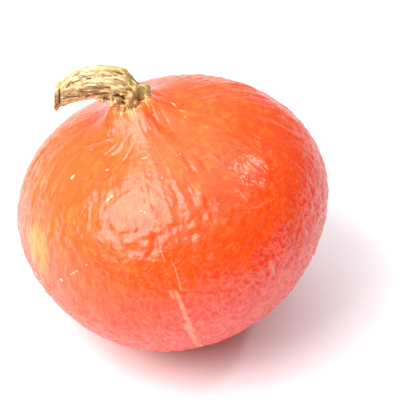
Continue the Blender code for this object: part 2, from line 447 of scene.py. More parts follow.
@dataclass(frozen=True)
class Crease:
    """A ridge or groove that grew in one place, or a lump or dent if its path is a single place.

    Attributes:
        path: Its course. Each place is a tilt and a turn on the rind, or a distance and an angle on the stem.
        height: How far it rises, or sinks where it is below 0.
        half_width: Half of its width.
    """

    path: tuple[Span, ...]
    height: float
    half_width: float

    def share(self, course: np.ndarray, points: np.ndarray) -> np.ndarray:
        """How much of its height it gives to each point, from 0 to 1.

        Args:
            course: Its path as points of the surface.
            points: The points of the surface.

        Returns:
            One share for each point.
        """
        if len(course) == 1:
            return bell(np.linalg.norm(points - course[0], axis=-1), self.half_width)
        nearest = np.full(len(points), np.inf)
        along = np.zeros(len(points))
        for step, (start, end) in enumerate(zip(course, course[1:])):
            edge = end - start
            place = np.clip((points - start) @ edge / (edge @ edge), 0, 1)
            off = np.linalg.norm(points - start - place[:, None] * edge, axis=-1)
            is_nearer = off < nearest
            nearest = np.where(is_nearer, off, nearest)
            along = np.where(is_nearer, (step + place) / (len(course) - 1), along)
        taper = smooth_step(0.35 + 3.0 * np.minimum(along, 1 - along))
        return taper * bell(nearest, self.half_width)


def crease_rows(*rows: tuple[Any, ...]) -> tuple[Crease, ...]:
    """Creases from rows of plain numbers.

    Args:
        rows: For each crease its height and half width in millimetres, then the places of its path.

    Returns:
        The creases.
    """
    return tuple(Crease(tuple(path), height / 1000, width / 1000) for height, width, *path in rows)


def skinned_mesh(name: str, rings: np.ndarray, poles: Sequence[np.ndarray]) -> bpy.types.Mesh:
    """A closed mesh over a row of rings, with a fan of triangles to the pole at each end.

    Args:
        name: The mesh's name.
        rings: Points by ring, by place in the ring, by axis.
        poles: The point before the first ring and the point past the last.

    Returns:
        The mesh, whose last two points are the poles.
    """
    rows, columns, _ = rings.shape
    index = np.arange(rows * columns).reshape(rows, columns)
    after = np.roll(index, -1, axis=1)
    quads = np.stack([index[:-1], index[1:], after[1:], after[:-1]], axis=-1).reshape(-1, 4)
    first, last = rows * columns, rows * columns + 1
    caps = [(first, start, end) for start, end in zip(index[0], after[0])]
    caps += [(last, end, start) for start, end in zip(index[-1], after[-1])]
    points = np.concatenate([rings.reshape(-1, 3), np.array(poles)])
    mesh = bpy.data.meshes.new(name)
    mesh.from_pydata(points.tolist(), [], quads.tolist() + caps)
    return mesh


@dataclass(frozen=True)
class FruitShape:
    """The rule that the rind follows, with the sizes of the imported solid."""

    equator_radius: float = 0.090
    top_height: float = 0.072
    bottom_depth: float = 0.074
    top_fullness: float = 1.96
    bottom_fullness: float = 1.78
    swells: tuple[tuple[int, float, float], ...] = (
        (2, 0.015, -36.0),
        (3, 0.022, 35.0),
        (4, 0.010, -17.5),
        (5, 0.006, 21.5),
    )
    lean: float = 17.0
    ground_spot_depth: float = 0.0014
    neck_top: float = 0.0813
    neck_top_radius: float = 0.0105
    neck_flare: float = 6.8
    neck_flare_power: float = 1.15
    hollow_depth: float = 0.0018
    hollow_tilt: float = 27.0
    hollow_width: float = 10.0
    hollow_lobes: int = 3
    hollow_lobe_share: float = 0.4
    hollow_turn: float = -20.0
    broad_folds: int = 5
    broad_fold_height: float = 0.0012
    broad_fold_turn: float = -78.0
    fine_folds: int = 19
    fine_fold_height: float = 0.0001
    fold_reach: float = 15.0
    fold_start: float = 2.5
    fold_unevenness: float = 7.0
    fold_uneven_turn: float = -28.0
    groove_depth: float = 0.0012
    groove_turn: float = -43.0
    groove_half_width: float = 9.0
    groove_tilt: float = 17.0
    groove_length: float = 8.0
    scar_radius: float = 0.0068
    scar_rim: float = 0.0006
    scar_rim_width: float = 0.0018
    scar_sink: float = 0.0013
    scar_sink_radius: float = 0.0041

    def body_radius(self, tilt: Any, turn: Any) -> Any:
        """How far the plain body reaches at a tilt from the stem axis and a turn round it.

        Args:
            tilt: The tilt from the stem axis.
            turn: The turn round it.

        Returns:
            The distance from the fruit's middle.
        """
        upper = np.cos(tilt) > 0
        height = np.where(upper, self.top_height, self.bottom_depth)
        power = np.where(upper, self.top_fullness, self.bottom_fullness)
        across = (np.sin(tilt) / self.equator_radius) ** power
        along = (np.abs(np.cos(tilt)) / height) ** power
        swell = sum(
            share * np.cos(lobes * (turn - math.radians(first))) for lobes, share, first in self.swells
        )
        return (across + along) ** (-1 / power) * (1 + np.sin(tilt) ** 2 * swell)

    @property
    def neck_edge(self) -> float:
        """The tilt of the edge of the neck's flat top."""
        return math.atan(self.neck_top_radius / self.neck_top)

    def neck_relief(self, tilt: Any, turn: Any) -> Any:
        """The neck's rise above the body, less the hollow round its foot.

        Args:
            tilt: The tilt from the stem axis.
            turn: The turn round it.

        Returns:
            What it adds to the radius.
        """
        rise = math.hypot(self.neck_top_radius, self.neck_top) - self.body_radius(self.neck_edge, 0.0)
        past_edge = np.maximum(tilt - self.neck_edge, 0) / math.radians(self.neck_flare)
        lobes = np.cos(self.hollow_lobes * (turn - math.radians(self.hollow_turn)))
        lobes = 1 - self.hollow_lobe_share + self.hollow_lobe_share * lobes
        ring = bell(tilt - math.radians(self.hollow_tilt), math.radians(self.hollow_width))
        return rise * np.exp(-(past_edge**self.neck_flare_power)) - self.hollow_depth * lobes * ring

    def fold_relief(self, tilt: Any, turn: Any) -> Any:
        """Folds that start under the neck's top and die out over the shoulder, with one deep groove.

        Args:
            tilt: The tilt from the stem axis.
            turn: The turn round it.

        Returns:
            What they add to the radius.
        """
        below_edge = tilt - self.neck_edge
        fade = smooth_step(below_edge / math.radians(self.fold_start))
        fade = fade * np.exp(-below_edge / math.radians(self.fold_reach))
        off_turn = turn - math.radians(self.fold_uneven_turn)
        unevenness = math.radians(self.fold_unevenness) * np.sin(2 * off_turn)
        uneven_turn = turn - math.radians(self.broad_fold_turn) + unevenness
        folds = self.broad_fold_height * np.cos(self.broad_folds * uneven_turn)
        folds = folds + self.fine_fold_height * np.cos(self.fine_folds * uneven_turn)
        off_groove = turn_between(turn, math.radians(self.groove_turn))
        groove = bell(off_groove, math.radians(self.groove_half_width))
        groove = groove * bell(tilt - math.radians(self.groove_tilt), math.radians(self.groove_length))
        return fade * folds - self.groove_depth * groove

    def scar_relief(self, tilt: Any) -> Any:
        """The raised rim of the flower's scar and its sunk middle.

        Args:
            tilt: The tilt from the stem axis.

        Returns:
            What they add to the radius.
        """
        off_pole = (math.pi - tilt) * self.bottom_depth
        rim = self.scar_rim * bell(off_pole - self.scar_radius, self.scar_rim_width)
        return rim - self.scar_sink * bell(off_pole, self.scar_sink_radius)

    def points(self, tilt: np.ndarray, turn: np.ndarray) -> np.ndarray:
        """Points of the rind in the fruit's own frame, whose +Z points at the stem.

        Args:
            tilt: The tilt from the stem axis.
            turn: The turn round it.

        Returns:
            The points.
        """
        radius = self.body_radius(tilt, turn) + self.neck_relief(tilt, turn) + self.fold_relief(tilt, turn)
        radius = radius + self.scar_relief(tilt)
        across = radius * np.sin(tilt)
        return np.stack([across * np.cos(turn), across * np.sin(turn), radius * np.cos(tilt)], axis=-1)

    def leaned(self, points: np.ndarray) -> np.ndarray:
        """Points of the fruit's own frame, leaned as the fruit lies but not yet lifted.

        Args:
            points: Points of the fruit's own frame.

        Returns:
            The leaned points.
        """
        lean = math.radians(self.lean)
        across = points[..., 0] * math.cos(lean) - points[..., 2] * math.sin(lean)
        up = points[..., 0] * math.sin(lean) + points[..., 2] * math.cos(lean)
        return np.stack([across, points[..., 1], up], axis=-1)

    @cached_property
    def middle(self) -> np.ndarray:
        """Where the fruit's middle is, with its lowest point over the origin and sunk by the flat spot.

        Returns:
            The point in the row frame.
        """
        tilt, turn = np.meshgrid(np.linspace(math.pi / 2, math.pi, 361), np.linspace(0, 2 * math.pi, 721))
        leaned = self.leaned(self.points(tilt, turn)).reshape(-1, 3)
        lowest = leaned[leaned[:, 2].argmin()]
        return -lowest - np.array([0, 0, self.ground_spot_depth])

    def placed(self, points: np.ndarray) -> np.ndarray:
        """Points of the fruit's own frame, in the row frame."""
        return self.leaned(np.asarray(points, dtype=float)) + self.middle

    def on_rind(self, tilt: float, turn: float) -> tuple[Vector, Vector, Vector]:
        """A place on the rind, by angles in degrees.

        Args:
            tilt: Its tilt from the stem axis.
            turn: Its turn round that axis.

        Returns:
            The point, the direction away from the stem and the direction out of the rind.
        """
        step = 0.2
        tilts = np.radians([tilt, tilt + step, tilt])
        turns = np.radians([turn, turn, turn + step])
        here, down, beside = (Vector(point) for point in self.placed(self.points(tilts, turns)))
        away = (down - here).normalized()
        out = away.cross(beside - here).normalized()
        return here, away, out


@dataclass(frozen=True)
class Vein:
    """A pale line that runs down the rind.

    Attributes:
        turn: Where it is, round the stem axis.
        start: The tilt where it begins.
        end: The tilt where it ends.
        half_width: Half of its width where it is widest.
        strength: How much it pales the rind.
        sway: How far it wanders to the sides.
        growth: The share of its width that it has at its start.
    """

    turn: float
    start: float
    end: float
    half_width: float
    strength: float = 0.8
    sway: float = 0.6
    growth: float = 0.5


@dataclass(frozen=True)
class RindFinish:
    """Ripe orange-red rind under a thin coat of wax, with painted sheen on its crests and painted shade
    between its wrinkles.

    Noise sizes such as clouds and specks count patches to the metre, and a span is two angles in degrees.
    """

    shape: FruitShape
    pin: Colour = (0.16, 0.020, 0.008)
    # groove: painted shade, the deep red laid between the wrinkles.
    groove: Colour = (0.72, 0.014, 0.003)
    deep: Colour = (0.88, 0.064, 0.030)
    # painted_sheen: a painted highlight, the pale salmon of light mirrored on crests.
    painted_sheen: Colour = (0.90, 0.185, 0.130)
    ripe: Colour = (0.86, 0.062, 0.003)
    light: Colour = (0.86, 0.100, 0.008)
    mottle: Colour = (0.86, 0.200, 0.020)
    yellow: Colour = (0.90, 0.27, 0.012)
    vein: Colour = (0.88, 0.28, 0.17)
    speck: Colour = (0.82, 0.52, 0.24)
    roughness: float = 0.25
    ior: float = 1.48
    wax: float = 0.10
    wax_roughness: float = 0.10
    red_side: float = -35.0
    red_side_share: float = 0.28
    tone_patches: float = 45.0
    tone_patch_share: float = 0.14
    clouds: float = 26.0
    light_span: Span = (80.0, 35.0)
    deep_span: Span = (90.0, 110.0)
    neck_span: Span = (13.0, 7.5)
    mottle_span: Span = (104.0, 60.0)
    mottle_flecks: float = 300.0
    mottle_clouds: float = 150.0
    streaks_to_radian: float = 9.0
    specks: float = 520.0
    wrinkle_width: float = 0.0043
    wrinkled_span: Span = (84.0, 104.0)
    # How much painted sheen and painted shade the wrinkles get.
    wrinkle_sheen_shade_share: float = 0.80
    wrinkle_relief: float = 0.00022
    crinkle_relief: float = 0.00009
    relief_span: Span = (46.0, 86.0)
    patch_centre: Point = (-0.0715, -0.0400, 0.0760)
    patch_radius: float = 0.018
    ground_height: float = 0.016
    raggedness: float = 0.008
    degree: float = 0.00157
    pin_radius: float = 0.0009
    pins: tuple[Span, ...] = ((15.7, -151.0), (15.1, -132.2), (10.7, -152.8), (13.0, -143.0), (33.0, -75.0))
    veins: tuple[Vein, ...] = (
        Vein(-86.3, 58.5, 69.5, 0.00050, 0.60, 0.4),
        Vein(-83.8, 68.0, 80.5, 0.00050, 0.65, 0.5),
        Vein(-87.3, 78.0, 82.5, 0.00120, 0.55, 0.2, 1.0),
        Vein(-85.4, 78.5, 100.0, 0.00150, 0.70, 0.6, 0.8),
        Vein(-86.6, 92.0, 122.0, 0.00200, 0.70, 0.7, 0.7),
        Vein(-51.8, 84.0, 92.5, 0.00090, 0.65, 0.3, 0.8),
        Vein(-46.8, 55.5, 65.0, 0.00045, 0.50, 0.3),
        Vein(-15.4, 50.5, 55.2, 0.00045, 0.55, 0.2, 1.0),
        Vein(-15.8, 61.5, 76.0, 0.00040, 0.45, 0.5),
    )

    def vein_group(self) -> bpy.types.NodeTree:
        """The nodes that draw one vein from its named sizes.

        Returns:
            The group.
        """
        tree = bpy.data.node_groups.new("vein", "ShaderNodeTree")
        for name in ("Turn", "Tilt", "Centre", "Start", "End", "Half Width", "Sway", "Growth"):
            tree.interface.new_socket(name=name, in_out="INPUT", socket_type="NodeSocketFloat")
        tree.interface.new_socket(name="Mask", in_out="OUTPUT", socket_type="NodeSocketFloat")
        bench = NodeBench(tree)
        given = bench.add("NodeGroupInput").outputs
        down = bench.add("ShaderNodeCombineXYZ", {0: given["Centre"], 1: 0.0, 2: given["Tilt"]}).outputs[0]
        wander = bench.sum("SUBTRACT", bench.noise(down, 0.13, 1.0), 0.5)
        centre = bench.sum("MULTIPLY_ADD", bench.product(wander, 4.0), given["Sway"], given["Centre"])
        offset = bench.sum("ABSOLUTE", bench.sum("SUBTRACT", given["Turn"], centre))
        ragged = bench.ramp(bench.noise(down, 0.5, 2.0), 0.3, 0.7, 0.7, 1.3)
        share = bench.ramp(given["Tilt"], given["Start"], given["End"], given["Growth"], 1.0)
        width = bench.product(given["Half Width"], share, ragged, 1.0 / self.degree)
        across = bench.ramp(bench.sum("DIVIDE", offset, width), 0.35, 1.3, 1.0, 0.0)
        head = bench.ramp(bench.sum("SUBTRACT", given["Tilt"], given["Start"]), 0.0, 1.6)
        tail = bench.ramp(bench.sum("SUBTRACT", given["End"], given["Tilt"]), 0.0, 1.6)
        bench.feed(bench.add("NodeGroupOutput").inputs[0], bench.product(across, head, tail))
        return tree

    def vein_mask(self, bench: SurfaceBench) -> bpy.types.NodeSocket:
        """How much of the surface is vein, from 0 to 1.

        Args:
            bench: The material's bench.

        Returns:
            The mask.
        """
        angles = bench.add("ShaderNodeUVMap", uv_map=Field.MERIDIANS.value).outputs[0]
        split = bench.add("ShaderNodeSeparateXYZ", {0: angles}).outputs
        turn = bench.sum("MULTIPLY_ADD", split[0], 360.0, -180.0)
        tilt = bench.sum("MULTIPLY", split[1], 180.0)
        group = self.vein_group()
        masks = []
        for vein in self.veins:
            node = bench.add("ShaderNodeGroup", node_tree=group)
            sizes = (turn, tilt, vein.turn, vein.start, vein.end, vein.half_width, vein.sway, vein.growth)
            for socket, size in zip(node.inputs, sizes):
                bench.feed(socket, size)
            masks.append(bench.product(node.outputs[0], vein.strength))
        return bench.add("ShaderNodeClamp", {0: bench.total(masks)}).outputs[0]

    def tone(self, bench: SurfaceBench) -> bpy.types.NodeSocket:
        """How ripe the rind is: its tilt as an angle, more on the red side and a little more in patches.

        Args:
            bench: The material's bench.

        Returns:
            The angle.
        """
        tilt = bench.stored(Field.TILT).outputs["Fac"]
        red_way = math.radians(self.red_side)
        inputs = {
            0: bench.stored(Field.SPOKE).outputs["Vector"],
            1: (math.cos(red_way), math.sin(red_way), 0.0),
        }
        facing = bench.add("ShaderNodeVectorMath", inputs, operation="DOT_PRODUCT").outputs["Value"]
        patchy = bench.swing(bench.place, self.tone_patches, 3.0, 0.6)
        shares = [bench.product(facing, self.red_side_share), bench.product(patchy, self.tone_patch_share)]
        return bench.total([tilt, *shares])

    def mottled(self, bench: SurfaceBench, tone: Fed, colour: Fed) -> bpy.types.NodeSocket:
        """Lays golden flecks and clouds over the colour, in streaks along the meridians.

        Args:
            bench: The material's bench.
            tone: How ripe the rind is.
            colour: The colour so far.

        Returns:
            The colour with them.
        """
        grain = bench.stored(Field.GRAIN).outputs["Vector"]
        spoke = bench.stored(Field.SPOKE).outputs["Vector"]
        flecked = bench.noise(bench.drift(grain, 160.0, 0.004), self.mottle_flecks, 4.0, 0.62)
        clouded = bench.noise(bench.drift(bench.place, 120.0, 0.006), self.mottle_clouds, 4.0, 0.62)
        flecks = bench.product(bench.ramp(flecked, 0.48, 0.74), 0.35)
        clouds = bench.product(bench.ramp(clouded, 0.44, 0.70), 0.55)
        streaks = bench.ramp(bench.noise(spoke, self.streaks_to_radian, 4.0, 0.6), 0.36, 0.66, 0.35, 1.0)
        spread = bench.angle_ramp(tone, self.mottle_span, 0.15)
        return bench.blend(
            colour, self.mottle, bench.product(bench.total([flecks, clouds]), streaks, spread)
        )

    def wrinkle_sheen_and_shade(self, bench: SurfaceBench, tone: Fed, colour: Fed) -> bpy.types.NodeSocket:
        """Paints a pale salmon sheen on the crests of creases and wrinkles and a deeper red between them:
        painted highlight and painted shade.

        Args:
            bench: The material's bench.
            tone: How ripe the rind is, since only the ripest part has wrinkles.
            colour: The colour so far.

        Returns:
            The colour with them.
        """
        crest = bench.stored(Field.CREST).outputs["Fac"]
        # Painted highlight on the crests of creases, painted shade in their hollows.
        colour = bench.blend(colour, self.painted_sheen, bench.ramp(crest, 0.1, 1.0, 0.0, 0.30))
        colour = bench.blend(colour, self.ripe, bench.ramp(crest, -0.1, -1.0, 0.0, 0.60))
        net, fine = self.wrinkles(bench)
        height = bench.total([net, bench.product(fine, 0.35)])
        share = bench.product(bench.angle_ramp(tone, self.wrinkled_span), self.wrinkle_sheen_shade_share)
        # Painted shade between the wrinkles, painted highlight on their crests.
        low = bench.product(bench.ramp(height, 0.42, 0.06), share)
        high = bench.product(bench.ramp(height, 0.55, 1.3), share)
        return bench.blend(bench.blend(colour, self.groove, low), self.painted_sheen, high)

    def unripe(self, bench: SurfaceBench, colour: Fed) -> bpy.types.NodeSocket:
        """Lays the yellow patch on the side and the yellow of the ground spot over the colour.

        Args:
            bench: The material's bench.
            colour: The colour so far.

        Returns:
            The colour with them.
        """
        grain = bench.stored(Field.GRAIN).outputs["Vector"]
        edge = bench.noise(grain, 240.0, 4.0, 0.65)
        ragged = bench.ramp(edge, 0.25, 0.75, -self.raggedness, self.raggedness)
        off_patch = bench.sum("ADD", bench.span(bench.place, self.patch_centre), ragged)
        patch = bench.ramp(off_patch, 1.15 * self.patch_radius, 0.1 * self.patch_radius)
        height = bench.add("ShaderNodeSeparateXYZ", {0: bench.place}).outputs[2]
        ground = bench.ramp(bench.sum("ADD", height, ragged), self.ground_height, 0.0)
        share = bench.sum("MAXIMUM", bench.product(patch, 0.85), bench.product(ground, 0.8))
        return bench.blend(colour, self.yellow, share)

    def colour(self, bench: SurfaceBench, vein: Fed) -> bpy.types.NodeSocket:
        """The rind's colour, from its ripeness down to its specks and veins, with painted sheen and painted
        shade on its creases and wrinkles.

        Args:
            bench: The material's bench.
            vein: How much of the surface is vein.

        Returns:
            The colour.
        """
        tone = self.tone(bench)
        cloud = bench.ramp(bench.noise(bench.place, self.clouds, 3.0), 0.36, 0.66)
        uneven = bench.ramp(cloud, 0.0, 1.0, 0.55, 1.0)
        light = bench.product(bench.angle_ramp(tone, self.light_span), uneven)
        colour = bench.blend(self.ripe, self.light, light)
        colour = bench.blend(colour, self.deep, bench.angle_ramp(tone, self.deep_span))
        colour = self.mottled(bench, tone, colour)
        neck = bench.angle_ramp(bench.stored(Field.TILT).outputs["Fac"], self.neck_span)
        colour = bench.blend(colour, self.mottle, bench.product(neck, 0.5))
        # The wrinkle colours laid here are painted sheen and painted shade.
        colour = self.unripe(bench, self.wrinkle_sheen_and_shade(bench, tone, colour))
        seeds = bench.cells(bench.stored(Field.GRAIN).outputs["Vector"], self.specks)
        chosen = bench.ramp(bench.noise(bench.place, 60.0, 1.0), 0.56, 0.66)
        colour = bench.blend(colour, self.speck, bench.product(bench.ramp(seeds, 0.16, 0.08), chosen, 0.55))
        return bench.blend(bench.blend(colour, self.vein, vein), self.pin, self.pin_mask(bench))

    def pin_mask(self, bench: SurfaceBench) -> bpy.types.NodeSocket:
        """How much of the surface is a dark pinprick, from 0 to 1.

        Args:
            bench: The material's bench.

        Returns:
            The mask.
        """
        masks = []
        for tilt, turn in self.pins:
            middle = self.shape.on_rind(tilt, turn)[0]
            off = bench.span(bench.stored(Field.REST).outputs["Vector"], tuple(middle))
            masks.append(bench.ramp(off, self.pin_radius, 0.4 * self.pin_radius, 0.0, 0.85))
        return bench.add("ShaderNodeClamp", {0: bench.total(masks)}).outputs[0]

    def wrinkles(self, bench: SurfaceBench) -> tuple[bpy.types.NodeSocket, bpy.types.NodeSocket]:
        """The crests of the net of wrinkles and of the finer creases, each from 0 to 1.

        Args:
            bench: The material's bench.

        Returns:
            The net and the finer creases.
        """
        rest = bench.stored(Field.REST).outputs["Vector"]
        net = bench.ridges(bench.drift(rest, 140.0, 0.0035), 1.0 / self.wrinkle_width, 2.0)
        fine = bench.ridges(bench.drift(rest, 300.0, 0.0012), 560.0, 1.6)
        return net, fine

    def relief(self, bench: SurfaceBench, vein: Fed) -> bpy.types.NodeSocket:
        """Relief finer than the mesh: creases, pores and the raised veins, in metres.

        Args:
            bench: The material's bench.
            vein: How much of the surface is vein.

        Returns:
            The height.
        """
        rest = bench.stored(Field.REST).outputs["Vector"]
        tilt = bench.stored(Field.TILT).outputs["Fac"]
        lower = bench.angle_ramp(tilt, self.relief_span, 0.20, 0.75)
        net, fine = self.wrinkles(bench)
        swell = bench.swing(rest, 250.0, 1.5)
        pore = bench.noise(bench.place, 1500.0, 2.0)
        crinkles = bench.product(fine, self.crinkle_relief)
        rough = bench.total([bench.product(net, self.wrinkle_relief), crinkles])
        parts = ((rough, lower), (swell, 0.00009), (pore, 0.00004), (vein, 0.00008))
        return bench.total([bench.product(*part) for part in parts])

    def material(self) -> bpy.types.Material:
        """The whole finish.

        Returns:
            The material.
        """
        bench = SurfaceBench("ripe_rind")
        vein = self.vein_mask(bench)
        dull = bench.ramp(bench.noise(bench.place, 90.0, 3.0), 0.3, 0.7, -0.05, 0.06)
        roughness = bench.total([dull, self.roughness, bench.product(vein, 0.12)])
        colour = self.colour(bench, vein)
        relief = self.relief(bench, vein)
        return bench.finish(colour, roughness, relief, self.wax, self.wax_roughness, self.ior)


@dataclass(frozen=True)
class Fruit:
    """The fruit with its fine rind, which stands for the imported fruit."""

    shape: FruitShape
    finish: RindFinish
    columns: int = 480
    bands: tuple[tuple[float, int], ...] = ((26.0, 42), (112.0, 102), (180.0, 60))
    lump_height: float = 0.00040
    lump_size: float = 0.0095
    dent_depth: float = 0.00034
    dent_size: float = 0.0070
    flute_height: float = 0.00024
    flutes_to_radian: float = 7.0
    wrinkle_height: float = 0.00048
    calm_spot: Span = (48.0, -16.0)
    calm_radius: float = 0.042
    neck_span: Span = (14.0, 50.0)
    shoulder_span: Span = (22.0, 52.0)
    wrinkle_span: Span = (55.0, 96.0)
    flute_end_span: Span = (70.0, 110.0)
    creases: tuple[Crease, ...] = crease_rows(
        (0.7, 1.3, (7.4, -124.2), (9.7, -130.8), (12.7, -128.8)),
        (0.4, 1.6, (15.4, -144.5), (14.4, -132.5), (13.7, -125.5)),
        (0.6, 1.1, (26.4, -158.0), (22.4, -148.8), (19.4, -138.5), (16.9, -126.8)),
        (-0.8, 1.0, (25.4, -150.2), (22.9, -140.5), (20.7, -134.5), (18.6, -122.2)),
        (-0.4, 0.9, (26.1, -161.2), (22.4, -155.8), (18.4, -136.8)),
        (0.6, 1.1, (24.4, -123.0), (22.4, -115.2), (20.4, -109.8), (16.6, -107.5)),
        (-0.5, 0.9, (25.2, -127.7), (21.4, -119.0), (19.4, -113.2)),
        (0.4, 0.9, (16.6, -94.2), (19.9, -94.8)),
        (-0.4, 0.9, (22.6, -95.0), (25.2, -98.5), (27.9, -104.2)),
        (0.9, 1.8, (8.9, -58.8), (11.7, -61.3), (17.6, -69.2)),
        (0.5, 1.5, (11.2, -79.2), (15.1, -78.5), (18.9, -76.8)),
        (-0.7, 1.1, (8.9, -27.8), (11.9, -40.5), (15.7, -48.2)),
        (-0.5, 1.1, (11.2, -22.2), (14.7, -29.8), (19.1, -38.0)),
        (0.4, 1.1, (13.4, -52.0), (18.1, -58.2), (21.9, -61.5)),
        (0.5, 1.1, (13.7, 46.8), (14.2, 26.3), (16.6, 19.8)),
        (0.4, 0.9, (8.4, -11.8), (11.2, -18.2)),
        (-0.5, 1.4, (33.4, -54.5), (40.1, -56.8), (43.9, -59.8)),
        (-0.5, 1.4, (35.9, -49.0), (40.9, -49.8), (44.9, -50.8), (48.1, -53.0)),
        (0.4, 1.2, (38.9, -42.0), (44.1, -42.5), (48.6, -42.8)),
        (0.65, 1.0, (29.1, 13.2), (33.6, 15.0), (39.4, 18.0), (45.9, 13.5), (50.6, 15.5)),
        (0.65, 1.0, (27.9, 31.0), (40.6, 32.8), (55.6, 33.2), (60.4, 31.0)),
        (0.65, 1.0, (37.6, 23.8), (48.1, 22.0), (59.9, 22.8)),
        (0.7, 0.9, (45.1, 8.5), (53.9, 10.5), (62.9, 11.5), (72.7, 10.2), (79.7, 12.0)),
        (0.6, 0.9, (48.6, -2.0), (56.9, -0.5), (65.7, -0.5), (69.2, -1.2)),
        (0.9, 3.6, (56.9, -114.0)),
        (-0.5, 1.0, (54.1, -119.5), (53.9, -112.8)),
        (-0.8, 2.6, (60.1, -115.2), (64.2, -112.5)),
        (0.35, 1.2, (52.1, -114.0), (47.6, -109.2), (44.1, -102.5), (41.9, -96.2), (40.9, -90.8)),
        (0.3, 1.3, (39.4, -123.2), (45.9, -117.8)),
        (-0.3, 1.2, (46.1, -120.5), (51.1, -118.5)),
        (-0.6, 1.1, (58.9, -104.0), (57.6, -101.8), (56.1, -98.8)),
        (0.5, 1.6, (59.4, -102.2), (59.7, -96.5)),
        (-0.6, 2.2, (62.9, -98.8), (63.2, -95.5)),
        (-0.4, 0.9, (57.6, -95.2), (55.4, -93.5)),
        (-0.9, 1.8, (57.9, -87.5), (61.6, -88.0), (65.2, -89.8)),
        (0.5, 2.4, (52.4, -85.8), (56.4, -86.0)),
        (-0.4, 1.6, (54.4, -108.5), (57.6, -105.0)),
        (0.7, 1.2, (64.2, -70.0), (65.9, -72.5), (67.7, -75.0)),
        (-0.6, 1.3, (63.9, -74.8), (63.4, -72.0)),
        (-0.5, 1.0, (60.1, -73.5), (58.1, -68.8)),
        (-0.5, 1.1, (58.4, -81.0), (58.7, -76.2)),
        (0.5, 1.1, (71.4, -68.8), (73.7, -71.5)),
        (-0.4, 1.1, (45.9, -72.2), (49.2, -72.5), (52.4, -74.0)),
        (-0.5, 1.1, (46.1, -65.5), (50.4, -66.0), (54.9, -67.5)),
        (-0.6, 1.3, (56.9, -65.5), (62.6, -68.5)),
        (-0.6, 1.2, (52.6, -61.0), (58.4, -62.0), (64.2, -63.8)),
        (0.5, 1.2, (50.4, -61.0), (56.6, -64.2)),
        (0.4, 1.3, (54.9, -57.5), (61.4, -59.5)),
        (0.4, 1.1, (57.6, -63.5), (64.2, -65.0)),
        (-0.4, 0.9, (59.1, -52.2), (59.7, -58.0)),
        (-0.4, 1.2, (87.2, -76.2), (88.7, -72.5)),
        (-0.7, 2.0, (88.2, -61.8), (88.9, -58.2)),
        (-0.5, 1.8, (88.2, -67.8), (89.4, -64.8)),
        (0.5, 1.3, (84.4, -51.2), (89.2, -52.0), (91.7, -56.5)),
        (0.5, 1.8, (84.2, -64.0), (84.7, -59.5)),
        (0.75, 1.0, (67.7, 177.5), (59.7, 174.5), (52.4, 169.5), (43.9, 165.5), (34.1, 161.8),
         (23.4, 157.8)),
        (0.75, 1.0, (63.9, -163.8), (58.1, -169.0), (50.6, -171.8), (42.4, -175.3), (34.4, 179.5),
         (25.9, 177.5)),
        (0.6, 1.0, (51.6, -160.8), (44.9, -165.8), (38.4, -171.0)),
        (0.3, 1.1, (42.4, -155.8), (36.1, -158.8), (29.1, -159.2)),
        (0.5, 1.6, (69.9, -154.2), (65.4, -148.3)),
        (0.6, 1.0, (72.9, -126.8), (70.2, -121.5)),
        (-0.6, 0.6, (15.7, -151.0)),
        (-0.5, 0.5, (15.1, -132.2)),
        (-0.5, 0.5, (10.7, -152.8)),
    )

    def creased(self, plain: np.ndarray) -> tuple[np.ndarray, np.ndarray]:
        """Lays the creases on the plain rind.

        Args:
            plain: The plain rind's points.

        Returns:
            The moved points, and how much of a crest each is, from -1 in a hollow to 1 on a crest.
        """
        relief = np.zeros(len(plain))
        crest = np.zeros(len(plain))
        for crease in self.creases:
            tilts, turns = np.radians(np.array(crease.path)).T
            share = crease.share(self.shape.points(tilts, turns), plain)
            relief += crease.height * share
            crest += math.copysign(1.0, crease.height) * share
        return plain * (1 + relief / np.linalg.norm(plain, axis=-1))[:, None], crest

    def carrier(self) -> bpy.types.Mesh:
        """The plain rind, with its angles stored on it.

        Returns:
            The mesh.
        """
        shape = self.shape
        start, parts = math.degrees(shape.neck_edge), []
        for end, rows in self.bands:
            parts.append(np.linspace(start, end, rows, endpoint=False))
            start = end
        turns = (np.arange(self.columns) / self.columns * 2 - 1) * math.pi
        tilt, turn = np.meshgrid(np.radians(np.concatenate(parts)), turns, indexing="ij")
        poles = [(0.0, 0.0, shape.neck_top), shape.points(np.array([math.pi]), np.array([0.0]))[0]]
        raised, crest = self.creased(shape.points(tilt, turn).reshape(-1, 3))
        rings = shape.placed(raised).reshape(*tilt.shape, 3)
        mesh = skinned_mesh("rind_carrier", rings, shape.placed(np.array(poles)))
        tilt = np.append(tilt.ravel(), (0.0, math.pi))
        turn = np.append(turn.ravel(), (0.0, 0.0))
        spoke = np.stack([np.cos(turn), np.sin(turn), 0.10 * tilt], axis=-1)
        reach = shape.equator_radius * (0.25 + 0.75 * np.sin(tilt))
        down = 0.42 * shape.equator_radius * tilt
        grain = np.stack([reach * np.cos(turn), reach * np.sin(turn), down], axis=-1)
        store_on_points(mesh, Field.TILT, tilt)
        store_on_points(mesh, Field.SPOKE, spoke)
        store_on_points(mesh, Field.GRAIN, grain)
        store_on_points(mesh, Field.CREST, np.append(crest, (0.0, 0.0)))
        rest = np.concatenate([rings.reshape(-1, 3), shape.placed(np.array(poles))])
        store_on_points(mesh, Field.REST, rest)
        self.store_angles(mesh, tilt, turn)
        return mesh

